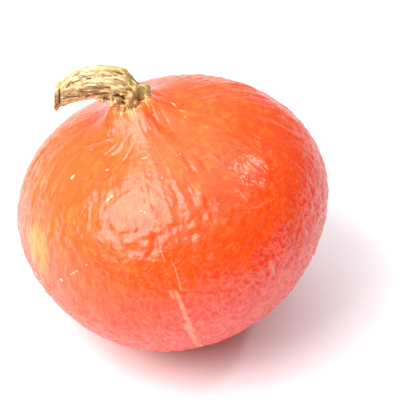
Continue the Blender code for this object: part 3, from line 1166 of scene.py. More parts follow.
    def store_angles(self, mesh: bpy.types.Mesh, tilt: np.ndarray, turn: np.ndarray) -> None:
        """Stores turn and tilt as a map from 0 to 1 on the corners, so that veins can be drawn on it.

        Args:
            mesh: The plain rind.
            tilt: Each point's tilt.
            turn: Each point's turn.
        """
        corners = np.empty(len(mesh.loops), dtype=np.int64)
        mesh.loops.foreach_get("vertex_index", corners)
        across = (turn[corners] / (2 * math.pi) + 0.5).astype(float)
        starts = np.empty(len(mesh.polygons), dtype=np.int64)
        totals = np.empty(len(mesh.polygons), dtype=np.int64)
        mesh.polygons.foreach_get("loop_start", starts)
        mesh.polygons.foreach_get("loop_total", totals)
        face_of = np.repeat(np.arange(len(starts)), totals)
        is_pole = corners >= len(mesh.vertices) - 2
        ring_corner = np.where(is_pole, -1.0, across)
        largest = np.maximum.reduceat(ring_corner, starts)[face_of]
        across = np.where((largest - across > 0.5) & ~is_pole, across + 1.0, across)
        across = np.where(is_pole, largest, across)
        angles = np.stack([across, tilt[corners] / math.pi], axis=-1)
        layer = mesh.uv_layers.new(name=Field.MERIDIANS.value)
        layer.data.foreach_set("uv", angles.astype(np.float32).ravel())

    def grown(self) -> bpy.types.Mesh:
        """The rind with its lumps, flutes and wrinkles, flat where it lies on the ground.

        Returns:
            The mesh.
        """
        sizes = {
            "Lump Height": self.lump_height,
            "Lump Size": self.lump_size,
            "Dent Depth": self.dent_depth,
            "Dent Size": self.dent_size,
            "Flute Height": self.flute_height,
            "Flutes to Radian": self.flutes_to_radian,
            "Wrinkle Height": self.wrinkle_height,
            "Wrinkle Width": self.finish.wrinkle_width,
        }
        bench = GrowthBench("rind_growth", sizes, self.finish.material())
        given = bench.given
        tilt = bench.stored(Field.TILT, "FLOAT")
        spoke = bench.stored(Field.SPOKE, "FLOAT_VECTOR")
        rest = bench.stored(Field.REST, "FLOAT_VECTOR")
        place = bench.add("GeometryNodeInputPosition").outputs[0]
        off_neck = bench.angle_ramp(tilt, self.neck_span, 0.10)
        calm_centre = tuple(self.shape.on_rind(*self.calm_spot)[0])
        calm = bench.ramp(bench.span(rest, calm_centre), 0.4 * self.calm_radius, self.calm_radius, 0.25, 1.0)
        shoulder = bench.product(bench.angle_ramp(tilt, self.shoulder_span), calm)
        lower = bench.angle_ramp(tilt, self.wrinkle_span, 0.10)
        lump = bench.swing(rest, bench.sum("DIVIDE", 1.0, given["Lump Size"]), 1.5)
        lump = bench.product(lump, given["Lump Height"], shoulder)
        dents = bench.sum("DIVIDE", 1.0, given["Dent Size"])
        dent = bench.ridges(bench.drift(rest, 70.0, 0.006), dents, 2.0)
        dent = bench.product(dent, given["Dent Depth"], shoulder, -1.0)
        flute = bench.ridges(bench.drift(spoke, 3.0, 0.10), given["Flutes to Radian"], 2.0, 0.5)
        fade = bench.angle_ramp(tilt, self.flute_end_span, 1.0, 0.2)
        flute = bench.product(flute, given["Flute Height"], fade, off_neck)
        wrinkle_scale = bench.sum("DIVIDE", 1.0, given["Wrinkle Width"])
        net = bench.ridges(bench.drift(rest, 140.0, 0.0035), wrinkle_scale, 1.5)
        wrinkle = bench.product(net, given["Wrinkle Height"], lower)
        raised = bench.pushed_out(given["Geometry"], bench.total([lump, dent, flute, wrinkle]))
        split = bench.add("ShaderNodeSeparateXYZ", {0: place}).outputs
        lifted = bench.sum("MAXIMUM", split[2], 0.0)
        level = bench.add("ShaderNodeCombineXYZ", {0: split[0], 1: split[1], 2: lifted}).outputs[0]
        resting = bench.add("GeometryNodeSetPosition", {0: raised, "Position": level}).outputs[0]
        return bench.grow(self.carrier(), resting)

    def build(self) -> bpy.types.Object:
        """Makes the piece."""
        return add_piece("ripe_fruit", self.grown(), "fruit")


@dataclass(frozen=True)
class StemShape:
    """The rule that the dried stem follows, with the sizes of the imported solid."""

    fruit: FruitShape
    gap: float = 0.0003
    tight_bend_radius: float = 0.0152
    slack_bend: float = 38.0
    slack_bend_radius: float = 0.041
    butt_radius: float = 0.0095
    tip_radius: float = 0.0070
    taper_power: float = 3.0
    tip_shave: float = 0.0020
    tip_shave_power: int = 4
    cut_slant: float = 40.0
    cut_slant_reach: float = 0.020
    foot_flare: float = 0.0008
    foot_flare_height: float = 0.0030
    ridge_count: int = 9
    ridge_share: float = 0.12
    ridge_share_at_tip: float = 0.05
    ridge_sway: float = 0.35
    ridge_sway_length: float = 0.027
    ridge_start: float = 0.012
    knobs: tuple[tuple[float, float, float, float], ...] = (
        (0.0095, 128.0, 0.0022, 0.0030),
        (0.0045, 70.0, 0.0010, 0.0022),
        (0.0135, 82.0, 0.0008, 0.0022),
        (0.0165, 12.0, 0.0009, 0.0024),
        (0.0080, 232.0, 0.0016, 0.0030),
        (0.0165, 285.0, 0.0009, 0.0026),
        (0.0180, 138.0, 0.0017, 0.0036),
        (0.0060, -10.0, -0.0013, 0.0045),
    )
    flap_reach: float = 0.0032
    flap_angle: float = -20.0
    flap_half_width: float = 24.0
    flap_thickness: float = 0.0020
    notch_depth: float = 0.0030
    notch_angle: float = 38.0
    notch_half_width: float = 15.0
    notch_height: float = 0.0030
    rim_height: float = 0.0008
    rim_setback: float = 0.0013
    rim_half_width: float = 0.0013
    rim_groove_depth: float = 0.0007
    rim_groove_setback: float = 0.0040
    pith_depth: float = 0.0022

    @property
    def tight_turn(self) -> float:
        """How far the tight bend turns, which ends level."""
        return math.radians(90.0 - self.fruit.lean)

    @property
    def length(self) -> float:
        """The length of the stem's centre line."""
        slack = self.slack_bend_radius * math.radians(self.slack_bend)
        return self.tight_bend_radius * self.tight_turn + slack

    def axes(self, distance: float) -> tuple[np.ndarray, np.ndarray, np.ndarray]:
        """The centre line's point, its direction and the direction of the bend's outer side.

        Args:
            distance: How far along the stem it is.

        Returns:
            The point and the two directions.
        """
        tight = min(distance / self.tight_bend_radius, self.tight_turn)
        past_tight = distance - self.tight_bend_radius * self.tight_turn
        heading = tight + max(past_tight / self.slack_bend_radius, 0)
        out = self.tight_bend_radius * (1 - math.cos(tight))
        out += self.slack_bend_radius * (math.cos(tight) - math.cos(heading))
        up = self.tight_bend_radius * math.sin(tight)
        up += self.slack_bend_radius * (math.sin(heading) - math.sin(tight))
        centre = np.array([-out, 0, self.fruit.neck_top + self.gap + up])
        along = np.array([-math.sin(heading), 0, math.cos(heading)])
        outer = np.array([math.cos(heading), 0, math.sin(heading)])
        return centre, along, outer

    def knob_relief(self, distance: float, angle: np.ndarray) -> np.ndarray:
        """The corky knobs and the dents near the foot.

        Args:
            distance: How far along the stem it is.
            angle: The angles round the stem.

        Returns:
            What they add to the radius.
        """
        relief = np.zeros_like(angle)
        for place, side, height, half_width in self.knobs:
            round_way = turn_between(angle, math.radians(side)) * self.butt_radius
            relief += height * bell(np.hypot(distance - place, round_way), half_width)
        return relief

    def foot_relief(self, distance: float, angle: np.ndarray) -> np.ndarray:
        """The foot's flare, its tongue of cork and the notch beside it.

        Args:
            distance: How far along the stem it is.
            angle: The angles round the stem.

        Returns:
            What they add to the radius.
        """
        flap = bell(turn_between(angle, math.radians(self.flap_angle)), math.radians(self.flap_half_width))
        off_notch = turn_between(angle, math.radians(self.notch_angle))
        notch = bell(off_notch, math.radians(self.notch_half_width))
        flap = self.flap_reach * flap * bell(distance, self.flap_thickness)
        flare = self.foot_flare * bell(distance, self.foot_flare_height)
        return flare + flap - self.notch_depth * notch * bell(distance, self.notch_height)

    def radius(self, distance: float, angle: np.ndarray) -> np.ndarray:
        """The stem's radius, by an angle round it that is counted from the bend's outer side.

        Args:
            distance: How far along the stem it is.
            angle: The angles round the stem.

        Returns:
            The radii.
        """
        share = distance / self.length
        taper = self.butt_radius + (self.tip_radius - self.butt_radius) * share**self.taper_power
        taper = taper - self.tip_shave * share**self.tip_shave_power * (1 + np.cos(angle)) / 2
        sway = self.ridge_sway * math.sin(2 * math.pi * distance / self.ridge_sway_length)
        ridge_share = self.ridge_share + (self.ridge_share_at_tip - self.ridge_share) * share
        crests = np.abs(np.cos(self.ridge_count / 2 * (angle + sway))) - 2 / math.pi
        ridges = ridge_share * smooth_step(distance / self.ridge_start) * crests
        rim = self.rim_height * bell(self.length - self.rim_setback - distance, self.rim_half_width)
        groove = bell(self.length - self.rim_groove_setback - distance, self.rim_half_width)
        relief = self.knob_relief(distance, angle) + self.foot_relief(distance, angle)
        return taper * (1 + ridges) + relief + rim - self.rim_groove_depth * groove

    def ring(self, distance: float, angle: np.ndarray, share: float = 1.0, sink: float = 0.0) -> np.ndarray:
        """One ring of the stem in the fruit's own frame.

        Args:
            distance: How far along the stem it is.
            angle: The angles of its points.
            share: How far it is drawn in towards the centre line, where 1 is not at all.
            sink: How far it is sunk below its own plane.

        Returns:
            Its points.
        """
        centre, along, outer = self.axes(distance)
        radius = share * self.radius(distance, angle)
        outward = radius * np.cos(angle)
        to_cut = (distance - self.length) / self.cut_slant_reach
        slant = math.tan(math.radians(self.cut_slant)) * smooth_step(1 + to_cut)
        sideways = np.outer(outward, outer) + np.outer(radius * np.sin(angle), (0.0, -1.0, 0.0))
        return centre + sideways - np.outer(sink + slant * outward, along)


@dataclass(frozen=True)
class CorkFinish:
    """Dry straw-coloured cork, brown in its cracks, with painted shade that deepens its cracks, pits and
    dents and darkens its underside, and painted light on the tongue at its foot.
    """

    crest: Colour = (0.90, 0.72, 0.42)
    body: Colour = (0.74, 0.47, 0.165)
    ochre: Colour = (0.84, 0.50, 0.13)
    # painted_tongue_light: painted light, a paler colour for the tongue at the foot, which lies in the stem's
    # shade.
    painted_tongue_light: Colour = (0.96, 0.74, 0.26)
    # crack: the cracks' own brown, also laid as painted shade in hollows and on the underside.
    crack: Colour = (0.25, 0.105, 0.022)
    # painted_pit_shade: painted shade, near black, for the deepest pits and dents.
    painted_pit_shade: Colour = (0.030, 0.014, 0.006)
    cut: Colour = (0.66, 0.520, 0.300)
    pith: Colour = (0.16, 0.075, 0.025)
    roughness: float = 0.82

    def material(self) -> bpy.types.Material:
        """The whole finish.

        Returns:
            The material.
        """
        bench = SurfaceBench("dry_cork")
        fibre = bench.stored(Field.FIBRE).outputs["Vector"]
        crevice_shade = bench.stored(Field.CREVICE).outputs["Fac"]
        cut = bench.stored(Field.CUT).outputs["Fac"]
        along = bench.stored(Field.ALONG).outputs["Fac"]
        strand = bench.vector_sum("MULTIPLY", bench.drift(fibre, 150.0, 0.0030), (1.0, 1.0, 0.13))
        threads = bench.noise(strand, 1300.0, 4.0, 0.65)
        thin_crack = bench.ridges(strand, 560.0, 4.0)
        blotch = bench.noise(bench.place, 260.0, 3.0, 0.6)
        tone = bench.total([bench.product(threads, 0.6), bench.product(blotch, 0.5)])
        colour = bench.blend(self.body, self.crest, bench.ramp(tone, 0.44, 0.62))
        foot = bench.ramp(along, 0.019, 0.007)
        stained = bench.ramp(bench.noise(bench.place, 420.0, 3.0, 0.6), 0.42, 0.56)
        colour = bench.blend(colour, self.ochre, bench.product(foot, stained, 0.90))
        outward, downward = bench.add("ShaderNodeSeparateXYZ", {0: fibre}).outputs[:2]
        # Painted light: the tongue of cork at the foot is paled as if lit.
        tongue = bench.product(bench.ramp(outward, 0.0066, 0.0086), bench.ramp(along, 0.012, 0.006))
        colour = bench.blend(colour, self.painted_tongue_light, bench.product(tongue, 0.85))
        # Painted shade: the crack colour laid along the stem's underside, between the threads.
        between_threads = bench.ramp(threads, 0.62, 0.42, 0.35, 1.0)
        under = bench.product(bench.ramp(downward, 0.0080, 0.0094), between_threads)
        painted_under_shade = bench.product(under, bench.ramp(along, 0.006, 0.014), 0.75)
        colour = bench.blend(colour, self.crack, painted_under_shade)
        colour = bench.blend(colour, self.cut, bench.ramp(cut, 0.0, 0.08))
        colour = bench.blend(colour, self.pith, bench.ramp(cut, 0.45, 0.95))
        off_cut = bench.ramp(cut, 0.0, 0.1, 1.0, 0.0)
        shallow = bench.product(thin_crack, off_cut, bench.ramp(blotch, 0.38, 0.54, 0.30, 1.0))
        # The crack brown here is partly the cracks' own colour and partly painted shade, deeper where the
        # hollow is deeper; the deepest are painted near black.
        cracked = bench.sum("MAXIMUM", shallow, bench.ramp(crevice_shade, 0.15, 0.6))
        colour = bench.blend(colour, self.crack, cracked)
        colour = bench.blend(colour, self.painted_pit_shade, bench.ramp(crevice_shade, 0.65, 1.0))
        fine = bench.total([bench.product(threads, 0.00034), bench.product(shallow, -0.00030)])
        grit = bench.product(bench.noise(bench.place, 2100.0, 3.0, 0.7), 0.00014)
        roughness = bench.ramp(threads, 0.2, 0.8, self.roughness - 0.08, self.roughness + 0.1)
        return bench.finish(colour, roughness, bench.sum("ADD", fine, grit))

    def fibre_material(self) -> bpy.types.Material:
        """The finish of loose fibres.

        Returns:
            The material.
        """
        bench = SurfaceBench("cork_fibre")
        patches = bench.noise(bench.place, 700.0, 3.0, 0.6)
        colour = bench.blend(self.ochre, self.crest, bench.ramp(patches, 0.32, 0.58))
        roughness = bench.ramp(patches, 0.3, 0.7, self.roughness - 0.1, self.roughness)
        return bench.finish(colour, roughness, bench.product(patches, 0.00008))


@dataclass(frozen=True)
class Stem:
    """The dried stem with its fibres and cracks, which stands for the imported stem."""

    shape: StemShape
    finish: CorkFinish = CorkFinish()
    columns: int = 176
    rows: int = 250
    cap_rings: int = 14
    crowding: float = 0.25
    fibre_height: float = 0.00017
    furrow_depth: float = 0.00055
    crack_depth: float = 0.00030
    wart_height: float = 0.0010
    pit_depth: float = 0.0009
    darkest_depth: float = 0.0011
    growths: tuple[Crease, ...] = crease_rows(
        (1.9, 3.6, (11.5, -8.0)),
        (1.0, 2.6, (9.4, 106.0)),
        (-1.0, 0.7, (11.1, 105.0)),
        (-1.0, 0.7, (7.9, 119.0)),
        (-2.4, 1.4, (4.4, 97.0)),
        (-1.1, 0.8, (12.0, 92.0), (8.5, 82.0), (5.0, 84.0)),
        (1.2, 1.2, (1.4, -34.0), (1.2, -22.0)),
        (0.7, 0.8, (1.6, -12.0), (1.2, 14.0)),
        (-0.5, 1.0, (3.8, -30.0), (3.8, 22.0)),
        (-0.7, 0.7, (6.0, 42.0), (9.0, 52.0)),
        (-0.6, 0.6, (9.0, 20.0), (6.0, 30.0)),
        (-0.6, 0.6, (13.0, 44.0), (9.0, 46.0)),
        (-0.7, 0.6, (34.5, 10.0), (29.0, 6.0)),
        (-0.8, 0.7, (19.5, 26.0), (13.0, 20.0)),
        (-0.7, 0.6, (19.0, 32.0), (15.0, 28.0)),
        (-0.8, 0.6, (26.5, 38.0), (23.5, 38.0)),
        (-0.9, 0.7, (14.0, 88.0), (20.0, 100.0), (30.0, 112.0)),
        (-1.0, 0.9, (12.5, 118.0), (18.0, 122.0)),
        (-0.7, 0.6, (10.5, 0.0), (13.0, -6.0)),
        (-0.8, 0.7, (11.0, 14.0), (14.5, 8.0)),
        (-0.7, 0.6, (36.5, 40.0), (28.0, 39.0)),
        (-0.7, 0.5, (39.5, 54.0), (36.0, 43.0)),
        (-0.7, 0.6, (42.5, 66.0), (33.0, 71.0)),
        (-0.8, 0.7, (32.0, 82.0), (21.0, 92.0)),
        (-0.7, 0.6, (24.0, 76.0), (17.0, 80.0)),
        (-0.7, 0.6, (22.0, 68.0), (10.0, 62.0)),
        (-0.8, 0.8, (40.0, 92.0), (30.0, 100.0)),
        (-1.0, 0.45, (43.6, 34.0), (43.4, 60.0), (43.2, 95.0), (43.4, 120.0)),
        (2.6, 1.5, (46.3, 40.0), (46.9, 62.0), (46.9, 92.0), (46.4, 120.0)),
    )
    foot_waves: tuple[tuple[int, float], ...] = ((7, 0.3), (13, 2.1), (19, 4.0), (31, 1.2))
    foot_raggedness: float = 0.00035
    foot_edge_height: float = 0.0016

    def carrier(self) -> bpy.types.Mesh:
        """The plain stem, with its straightened places stored on it.

        Returns:
            The mesh.
        """
        shape = self.shape
        angle = np.arange(self.columns) / self.columns * 2 * math.pi
        rings, fibres, alongs, cuts = [], [], [], []

        def keep(distance: float, share: float, sink: float, cut: float) -> None:
            """Keeps one ring with what is stored on it.

            Args:
                distance: How far along the stem it is.
                share: How far it is drawn in towards the centre line, where 1 is not at all.
                sink: How far it is sunk below its own plane.
                cut: How far in from the rim of the cut it is, from 0 to 1.
            """
            rings.append(shape.ring(distance, angle, share, sink))
            reach = share * shape.butt_radius
            level = np.full_like(angle, distance + sink)
            fibres.append(np.stack([reach * np.cos(angle), reach * np.sin(angle), level], axis=-1))
            alongs.append(np.full_like(angle, distance))
            cuts.append(np.full_like(angle, cut))

        for share in (0.35, 0.7, 0.92):
            keep(0.0, share, 0.0, 0.0)
        for distance in crowded(self.rows, self.crowding) * shape.length:
            keep(distance, 1.0, 0.0, 0.0)
        for share in np.linspace(1, 0, self.cap_rings + 2)[1:-1]:
            sink = shape.pith_depth * smooth_step((1 - share) * 1.15) - 0.0004 * bell(share - 0.9, 0.12)
            keep(shape.length, share, sink, 1 - share)
        plain = np.concatenate(rings)
        axis = np.concatenate(
            [np.tile(shape.axes(distance[0])[0], (self.columns, 1)) for distance in alongs]
        )
        along_all = np.concatenate(alongs)
        ragged = sum(np.sin(waves * np.tile(angle, len(rings)) + start) for waves, start in self.foot_waves)
        relief = self.foot_raggedness * ragged * bell(along_all, self.foot_edge_height)
        dark = np.zeros(len(plain))
        for growth in self.growths:
            course = np.array(
                [shape.ring(place / 1000, np.radians([side]))[0] for place, side in growth.path]
            )
            share = growth.share(course, plain)
            relief += growth.height * share
            # Each dent is darkened by its depth: painted shade.
            dark = np.maximum(dark, min(max(-growth.height / self.darkest_depth, 0.0), 1.0) * share)
        out = plain - axis
        reach = np.maximum(np.linalg.norm(out, axis=-1), 1e-6)
        rings = plain + out * (relief * np.minimum(reach / shape.tip_radius, 1) / reach)[:, None]
        rings = rings.reshape(-1, self.columns, 3)
        centre, along, _ = shape.axes(shape.length)
        poles = [(0.0, 0.0, shape.fruit.neck_top + shape.gap), centre - shape.pith_depth * along]
        placed = shape.fruit.placed(rings)
        mesh = skinned_mesh("stem_carrier", placed, shape.fruit.placed(np.array(poles)))
        ends = np.array([(0.0, 0.0, 0.0), (0.0, 0.0, shape.length)])
        store_on_points(mesh, Field.FIBRE, np.concatenate([np.concatenate(fibres), ends]))
        store_on_points(mesh, Field.ALONG, np.append(np.concatenate(alongs), (0.0, shape.length)))
        store_on_points(mesh, Field.CUT, np.append(np.concatenate(cuts), (0.0, 1.0)))
        store_on_points(mesh, Field.DARK, np.append(dark, (0.0, 0.0)))
        return mesh

    def grown(self) -> bpy.types.Mesh:
        """The stem with its fibres, cracks, warts and pits.

        Returns:
            The mesh.
        """
        sizes = {
            "Fibre Height": self.fibre_height,
            "Furrow Depth": self.furrow_depth,
            "Crack Depth": self.crack_depth,
            "Wart Height": self.wart_height,
            "Pit Depth": self.pit_depth,
        }
        bench = GrowthBench("cork_growth", sizes, self.finish.material())
        given = bench.given
        fibre = bench.stored(Field.FIBRE, "FLOAT_VECTOR")
        along = bench.stored(Field.ALONG, "FLOAT")
        cut = bench.stored(Field.CUT, "FLOAT")
        wavy = bench.drift(fibre, 110.0, 0.0045)
        strand = bench.vector_sum("MULTIPLY", wavy, (1.0, 1.0, 0.13))
        body = bench.ramp(cut, 0.0, 0.06, 1.0, 0.12)
        threads = bench.product(bench.swing(strand, 640.0, 2.0, 0.6), given["Fibre Height"], body)
        far = bench.ramp(along, 0.006, 0.018, 0.3, 1.0)
        furrow = bench.product(bench.ridges(strand, 170.0, 2.0), body, far)
        crack = bench.product(bench.ridges(bench.drift(strand, 300.0, 0.001), 430.0, 3.0), body, far)
        furrow_drop = bench.product(furrow, given["Furrow Depth"], -1.0)
        crack_drop = bench.product(crack, given["Crack Depth"], -1.0)
        foot = bench.ramp(along, 0.018, 0.007)
        lumpy = bench.drift(fibre, 260.0, 0.0030)
        wart = bench.ramp(bench.cells(lumpy, 300.0), 0.55, 0.0)
        wart_rise = bench.product(wart, foot, given["Wart Height"])
        pit = bench.ramp(bench.cells(bench.drift(fibre, 300.0, 0.002), 380.0), 0.24, 0.10)
        pit_drop = bench.product(pit, foot, given["Pit Depth"], -1.0)
        height = bench.total([threads, furrow_drop, crack_drop, wart_rise, pit_drop])
        raised = bench.pushed_out(given["Geometry"], height)
        # Darkness stored for the material: painted shade in furrows, cracks, pits and dents and between
        # warts, over the cracks' own brown.
        dark = bench.sum("MAXIMUM", bench.product(furrow, 0.42), bench.product(crack, 0.58))
        dark = bench.sum("MAXIMUM", dark, bench.product(pit, foot, 0.75))
        dark = bench.sum("MAXIMUM", dark, bench.stored(Field.DARK, "FLOAT"))
        between = bench.product(bench.ramp(wart, 0.35, 0.0), foot, 0.45)
        crevice_shade = bench.sum("MAXIMUM", dark, between)
        return bench.grow(self.carrier(), bench.store(raised, Field.CREVICE, crevice_shade))

    def build(self) -> bpy.types.Object:
        """Makes the piece."""
        return add_piece("dry_stem", self.grown(), "stem")


@dataclass(frozen=True)
class FootFibres:
    """Fine fibres that fray from the stem's foot into the rind.

    Attributes:
        fruit: The rind that they lie on.
        finish: Their finish.
        sides: The turns between which most of them lie.
        count: How many there are.
        half_width: Half of their thickness.
        seed: What their places are drawn from.
    """

    fruit: FruitShape
    finish: CorkFinish
    sides: Span = (-150.0, -10.0)
    count: int = 46
    half_width: float = 0.00016
    seed: int = 11

    def carrier(self) -> bpy.types.Mesh:
        """One short chain of edges for each fibre, from under the foot down the neck.

        Returns:
            The mesh, which has edges alone.
        """
        chance = random.Random(self.seed)
        points, edges = [], []
        for _ in range(self.count):
            turn = chance.uniform(*self.sides)
            start = chance.uniform(5.6, 6.6)
            end = start + chance.choice((1.6, 2.4, 3.2, 4.6)) * chance.uniform(0.7, 1.2)
            slant = chance.uniform(-1.4, 1.4)
            for step in range(6):
                share = step / 5
                tilt = start + share * (end - start)
                side = turn + slant * share * 6 + chance.uniform(-0.7, 0.7)
                here, _, out = self.fruit.on_rind(tilt, side)
                if step:
                    edges.append((len(points) - 1, len(points)))
                points.append(tuple(here + (0.35 - 0.5 * share) * self.half_width * out))
        mesh = bpy.data.meshes.new("fibre_carrier")
        mesh.from_pydata(points, edges, [])
        return mesh

    def build(self) -> bpy.types.Object:
        """Makes the piece: a thin tapering tube along every chain.

        Returns:
            The piece's object.
        """
        bench = GrowthBench("fibre_growth", {"Half Width": self.half_width}, self.finish.fibre_material())
        curve = bench.add("GeometryNodeMeshToCurve", {0: bench.given["Geometry"]}).outputs[0]
        share = bench.add("GeometryNodeSplineParameter").outputs[0]
        width = bench.product(bench.ramp(share, 1.0, 0.4, 0.25, 1.0), bench.given["Half Width"])
        ring = bench.add("GeometryNodeCurvePrimitiveCircle", {"Resolution": 8, "Radius": 1.0}).outputs[0]
        inputs = {"Curve": curve, "Profile Curve": ring, "Scale": width, "Fill Caps": True}
        tube = bench.add("GeometryNodeCurveToMesh", inputs).outputs[0]
        return add_piece("foot_fibres", bench.grow(self.carrier(), tube))


@dataclass(frozen=True)
class Flake:
    """A crumb of cork that lies on the rind.

    Attributes:
        start: The tilt and turn of one end.
        end: The tilt and turn of the other end.
        width: Its width.
    """

    start: Span
    end: Span
    width: float


@dataclass(frozen=True)
class FlakeFinish:
    """Pale dry crumbs."""

    pale: Colour = (0.70, 0.56, 0.34)
    tan: Colour = (0.52, 0.34, 0.15)
    roughness: float = 0.8

    def material(self) -> bpy.types.Material:
        """The whole finish.

        Returns:
            The material.
        """
        bench = SurfaceBench("cork_crumb")
        patches = bench.noise(bench.place, 900.0, 3.0, 0.6)
        colour = bench.blend(self.tan, self.pale, bench.ramp(patches, 0.35, 0.60))
        roughness = bench.ramp(patches, 0.3, 0.7, self.roughness - 0.1, self.roughness + 0.1)
        return bench.finish(colour, roughness, bench.product(patches, 0.0002))


@dataclass(frozen=True)
class CorkFlakes:
    """The crumbs of cork and the small scabs that are scattered over the rind."""

    fruit: FruitShape
    finish: FlakeFinish = FlakeFinish()
    thickness: float = 0.0009
    raggedness: float = 0.35
    ragged_scale: float = 620.0
    flakes: tuple[Flake, ...] = (
        Flake((39.8, -145.2), (37.2, -145.5), 0.0021),
        Flake((44.6, -110.7), (42.9, -108.9), 0.0023),
        Flake((43.0, -108.3), (41.9, -106.8), 0.0021),
        Flake((31.1, -119.0), (31.1, -114.8), 0.0011),
        Flake((28.1, -86.5), (28.6, -78.5), 0.0005),
        Flake((16.1, 2.0), (18.4, -6.0), 0.0008),
        Flake((19.9, -11.2), (22.9, -10.8), 0.0008),
        Flake((22.6, -18.8), (23.6, -18.2), 0.0009),
        Flake((33.3, -59.3), (33.9, -59.3), 0.0007),
        Flake((33.6, -56.8), (34.2, -56.2), 0.0007),
        Flake((39.1, -75.9), (39.8, -75.1), 0.0009),
        Flake((49.2, -91.6), (50.0, -90.8), 0.0010),
        Flake((50.1, -89.8), (50.9, -89.2), 0.0009),
        Flake((77.2, -133.9), (77.2, -132.0), 0.0014),
        Flake((73.4, -127.6), (70.6, -123.0), 0.0007),
        Flake((68.4, -119.8), (67.6, -118.0), 0.0006),
    )

    def carrier(self) -> bpy.types.Mesh:
        """One point for each crumb, with its size and how it is turned.

        Returns:
            The mesh, which has points alone.
        """
        points, turned, sizes = [], [], []
        for flake in self.flakes:
            here, _, out = self.fruit.on_rind(*np.mean([flake.start, flake.end], axis=0))
            along = self.fruit.on_rind(*flake.end)[0] - self.fruit.on_rind(*flake.start)[0]
            ahead = (along - along.dot(out) * out).normalized()
            points.append(here + 0.12 * self.thickness * out)
            turned.append(tuple(Matrix((ahead, out.cross(ahead), out)).transposed().to_euler()))
            high = min(self.thickness, 0.8 * flake.width)
            sizes.append((along.length / 2, flake.width / 2, high / 2))
        mesh = bpy.data.meshes.new("flake_carrier")
        mesh.from_pydata([tuple(point) for point in points], [], [])
        store_on_points(mesh, Field.TURNED, np.array(turned))
        store_on_points(mesh, Field.SIZE, np.array(sizes))
        return mesh

    def build(self) -> bpy.types.Object:
        """Makes the piece: one ragged crumb on every point.

        Returns:
            The piece's object.
        """
        sizes = {"Raggedness": self.raggedness, "Ragged Scale": self.ragged_scale}
        bench = GrowthBench("flake_growth", sizes, self.finish.material())
        given = bench.given
        crumb = bench.add("GeometryNodeMeshIcoSphere", {"Radius": 1.0, "Subdivisions": 4}).outputs[0]
        place = bench.add("GeometryNodeInputPosition").outputs[0]
        turned = bench.stored(Field.TURNED, "FLOAT_VECTOR")
        inputs = {
            "Points": given["Geometry"],
            "Instance": crumb,
            "Rotation": turned,
            "Scale": bench.stored(Field.SIZE, "FLOAT_VECTOR"),
        }
        laid = bench.add("GeometryNodeInstanceOnPoints", inputs).outputs[0]
        real = bench.add("GeometryNodeRealizeInstances", {0: laid}).outputs[0]
        bumpy = bench.sum("SUBTRACT", bench.noise(place, given["Ragged Scale"], 3.0, 0.6), 0.5)
        ragged = bench.pushed_out(real, bench.product(bumpy, given["Raggedness"], 0.002))
        return add_piece("cork_flakes", bench.grow(self.carrier(), ragged))


@dataclass(frozen=True)
class FloorFinish:
    """Plain pale card."""

    pale: Colour = (0.93, 0.93, 0.935)
    shade: Colour = (0.91, 0.91, 0.92)

    def material(self) -> bpy.types.Material:
        """The whole finish.

        Returns:
            The material.
        """
        bench = SurfaceBench("pale_card")
        cloud = bench.noise(bench.place, 3.0, 3.0)
        colour = bench.blend(self.pale, self.shade, bench.ramp(cloud, 0.3, 0.7))
        tooth = bench.product(bench.noise(bench.place, 900.0, 2.0), 0.00002)
        roughness = bench.ramp(cloud, 0.3, 0.7, 0.75, 0.85)
        return bench.finish(colour, roughness, tooth)


@dataclass(frozen=True)
class SoftLight:
    """A rectangular soft light that looks at the squash.

    Attributes:
        name: What it is called.
        azimuth: Its direction, where 0 is from the camera's side and 90 is from +X.
        elevation: Its height above the horizon.
        width: Its width.
        height: Its height.
        radiance: Its power for each square metre, divided by pi.
    """

    name: str
    azimuth: float
    elevation: float
    width: float
    height: float
    radiance: float

    def build(self, middle: Vector, distance: float) -> None:
        """Makes the light at a distance from the squash.

        Args:
            middle: The point that it looks at.
            distance: How far off it is.
        """
        azimuth = math.radians(self.azimuth)
        elevation = math.radians(self.elevation)
        level = math.cos(elevation)
        towards = Vector((math.sin(azimuth) * level, -math.cos(azimuth) * level, math.sin(elevation)))
        light = bpy.data.lights.new(self.name, "AREA")
        light.shape = "RECTANGLE"
        light.size = self.width
        light.size_y = self.height
        light.energy = math.pi * self.width * self.height * self.radiance
        lamp = bpy.data.objects.new(self.name, light)
        lamp.location = middle + distance * towards
        lamp.rotation_euler = (math.radians(90.0 - self.elevation), 0.0, azimuth)
        lamp.visible_camera = False
        bpy.context.scene.collection.objects.link(lamp)
        LOG.info("light %s", self.name)


@dataclass(frozen=True)
class Glow:
    """A soft bright region of the room.

    Attributes:
        azimuth: Its direction, counted as a light's.
        elevation: Its height above the horizon.
        half_angle: How far it reaches.
        radiance: How bright its middle is.
    """

    azimuth: float
    elevation: float
    half_angle: float
    radiance: float

    @property
    def towards(self) -> Point:
        """The direction of its middle.

        Returns:
            The direction, one long.
        """
        azimuth = math.radians(self.azimuth)
        elevation = math.radians(self.elevation)
        level = math.cos(elevation)
        return (math.sin(azimuth) * level, -math.cos(azimuth) * level, math.sin(elevation))


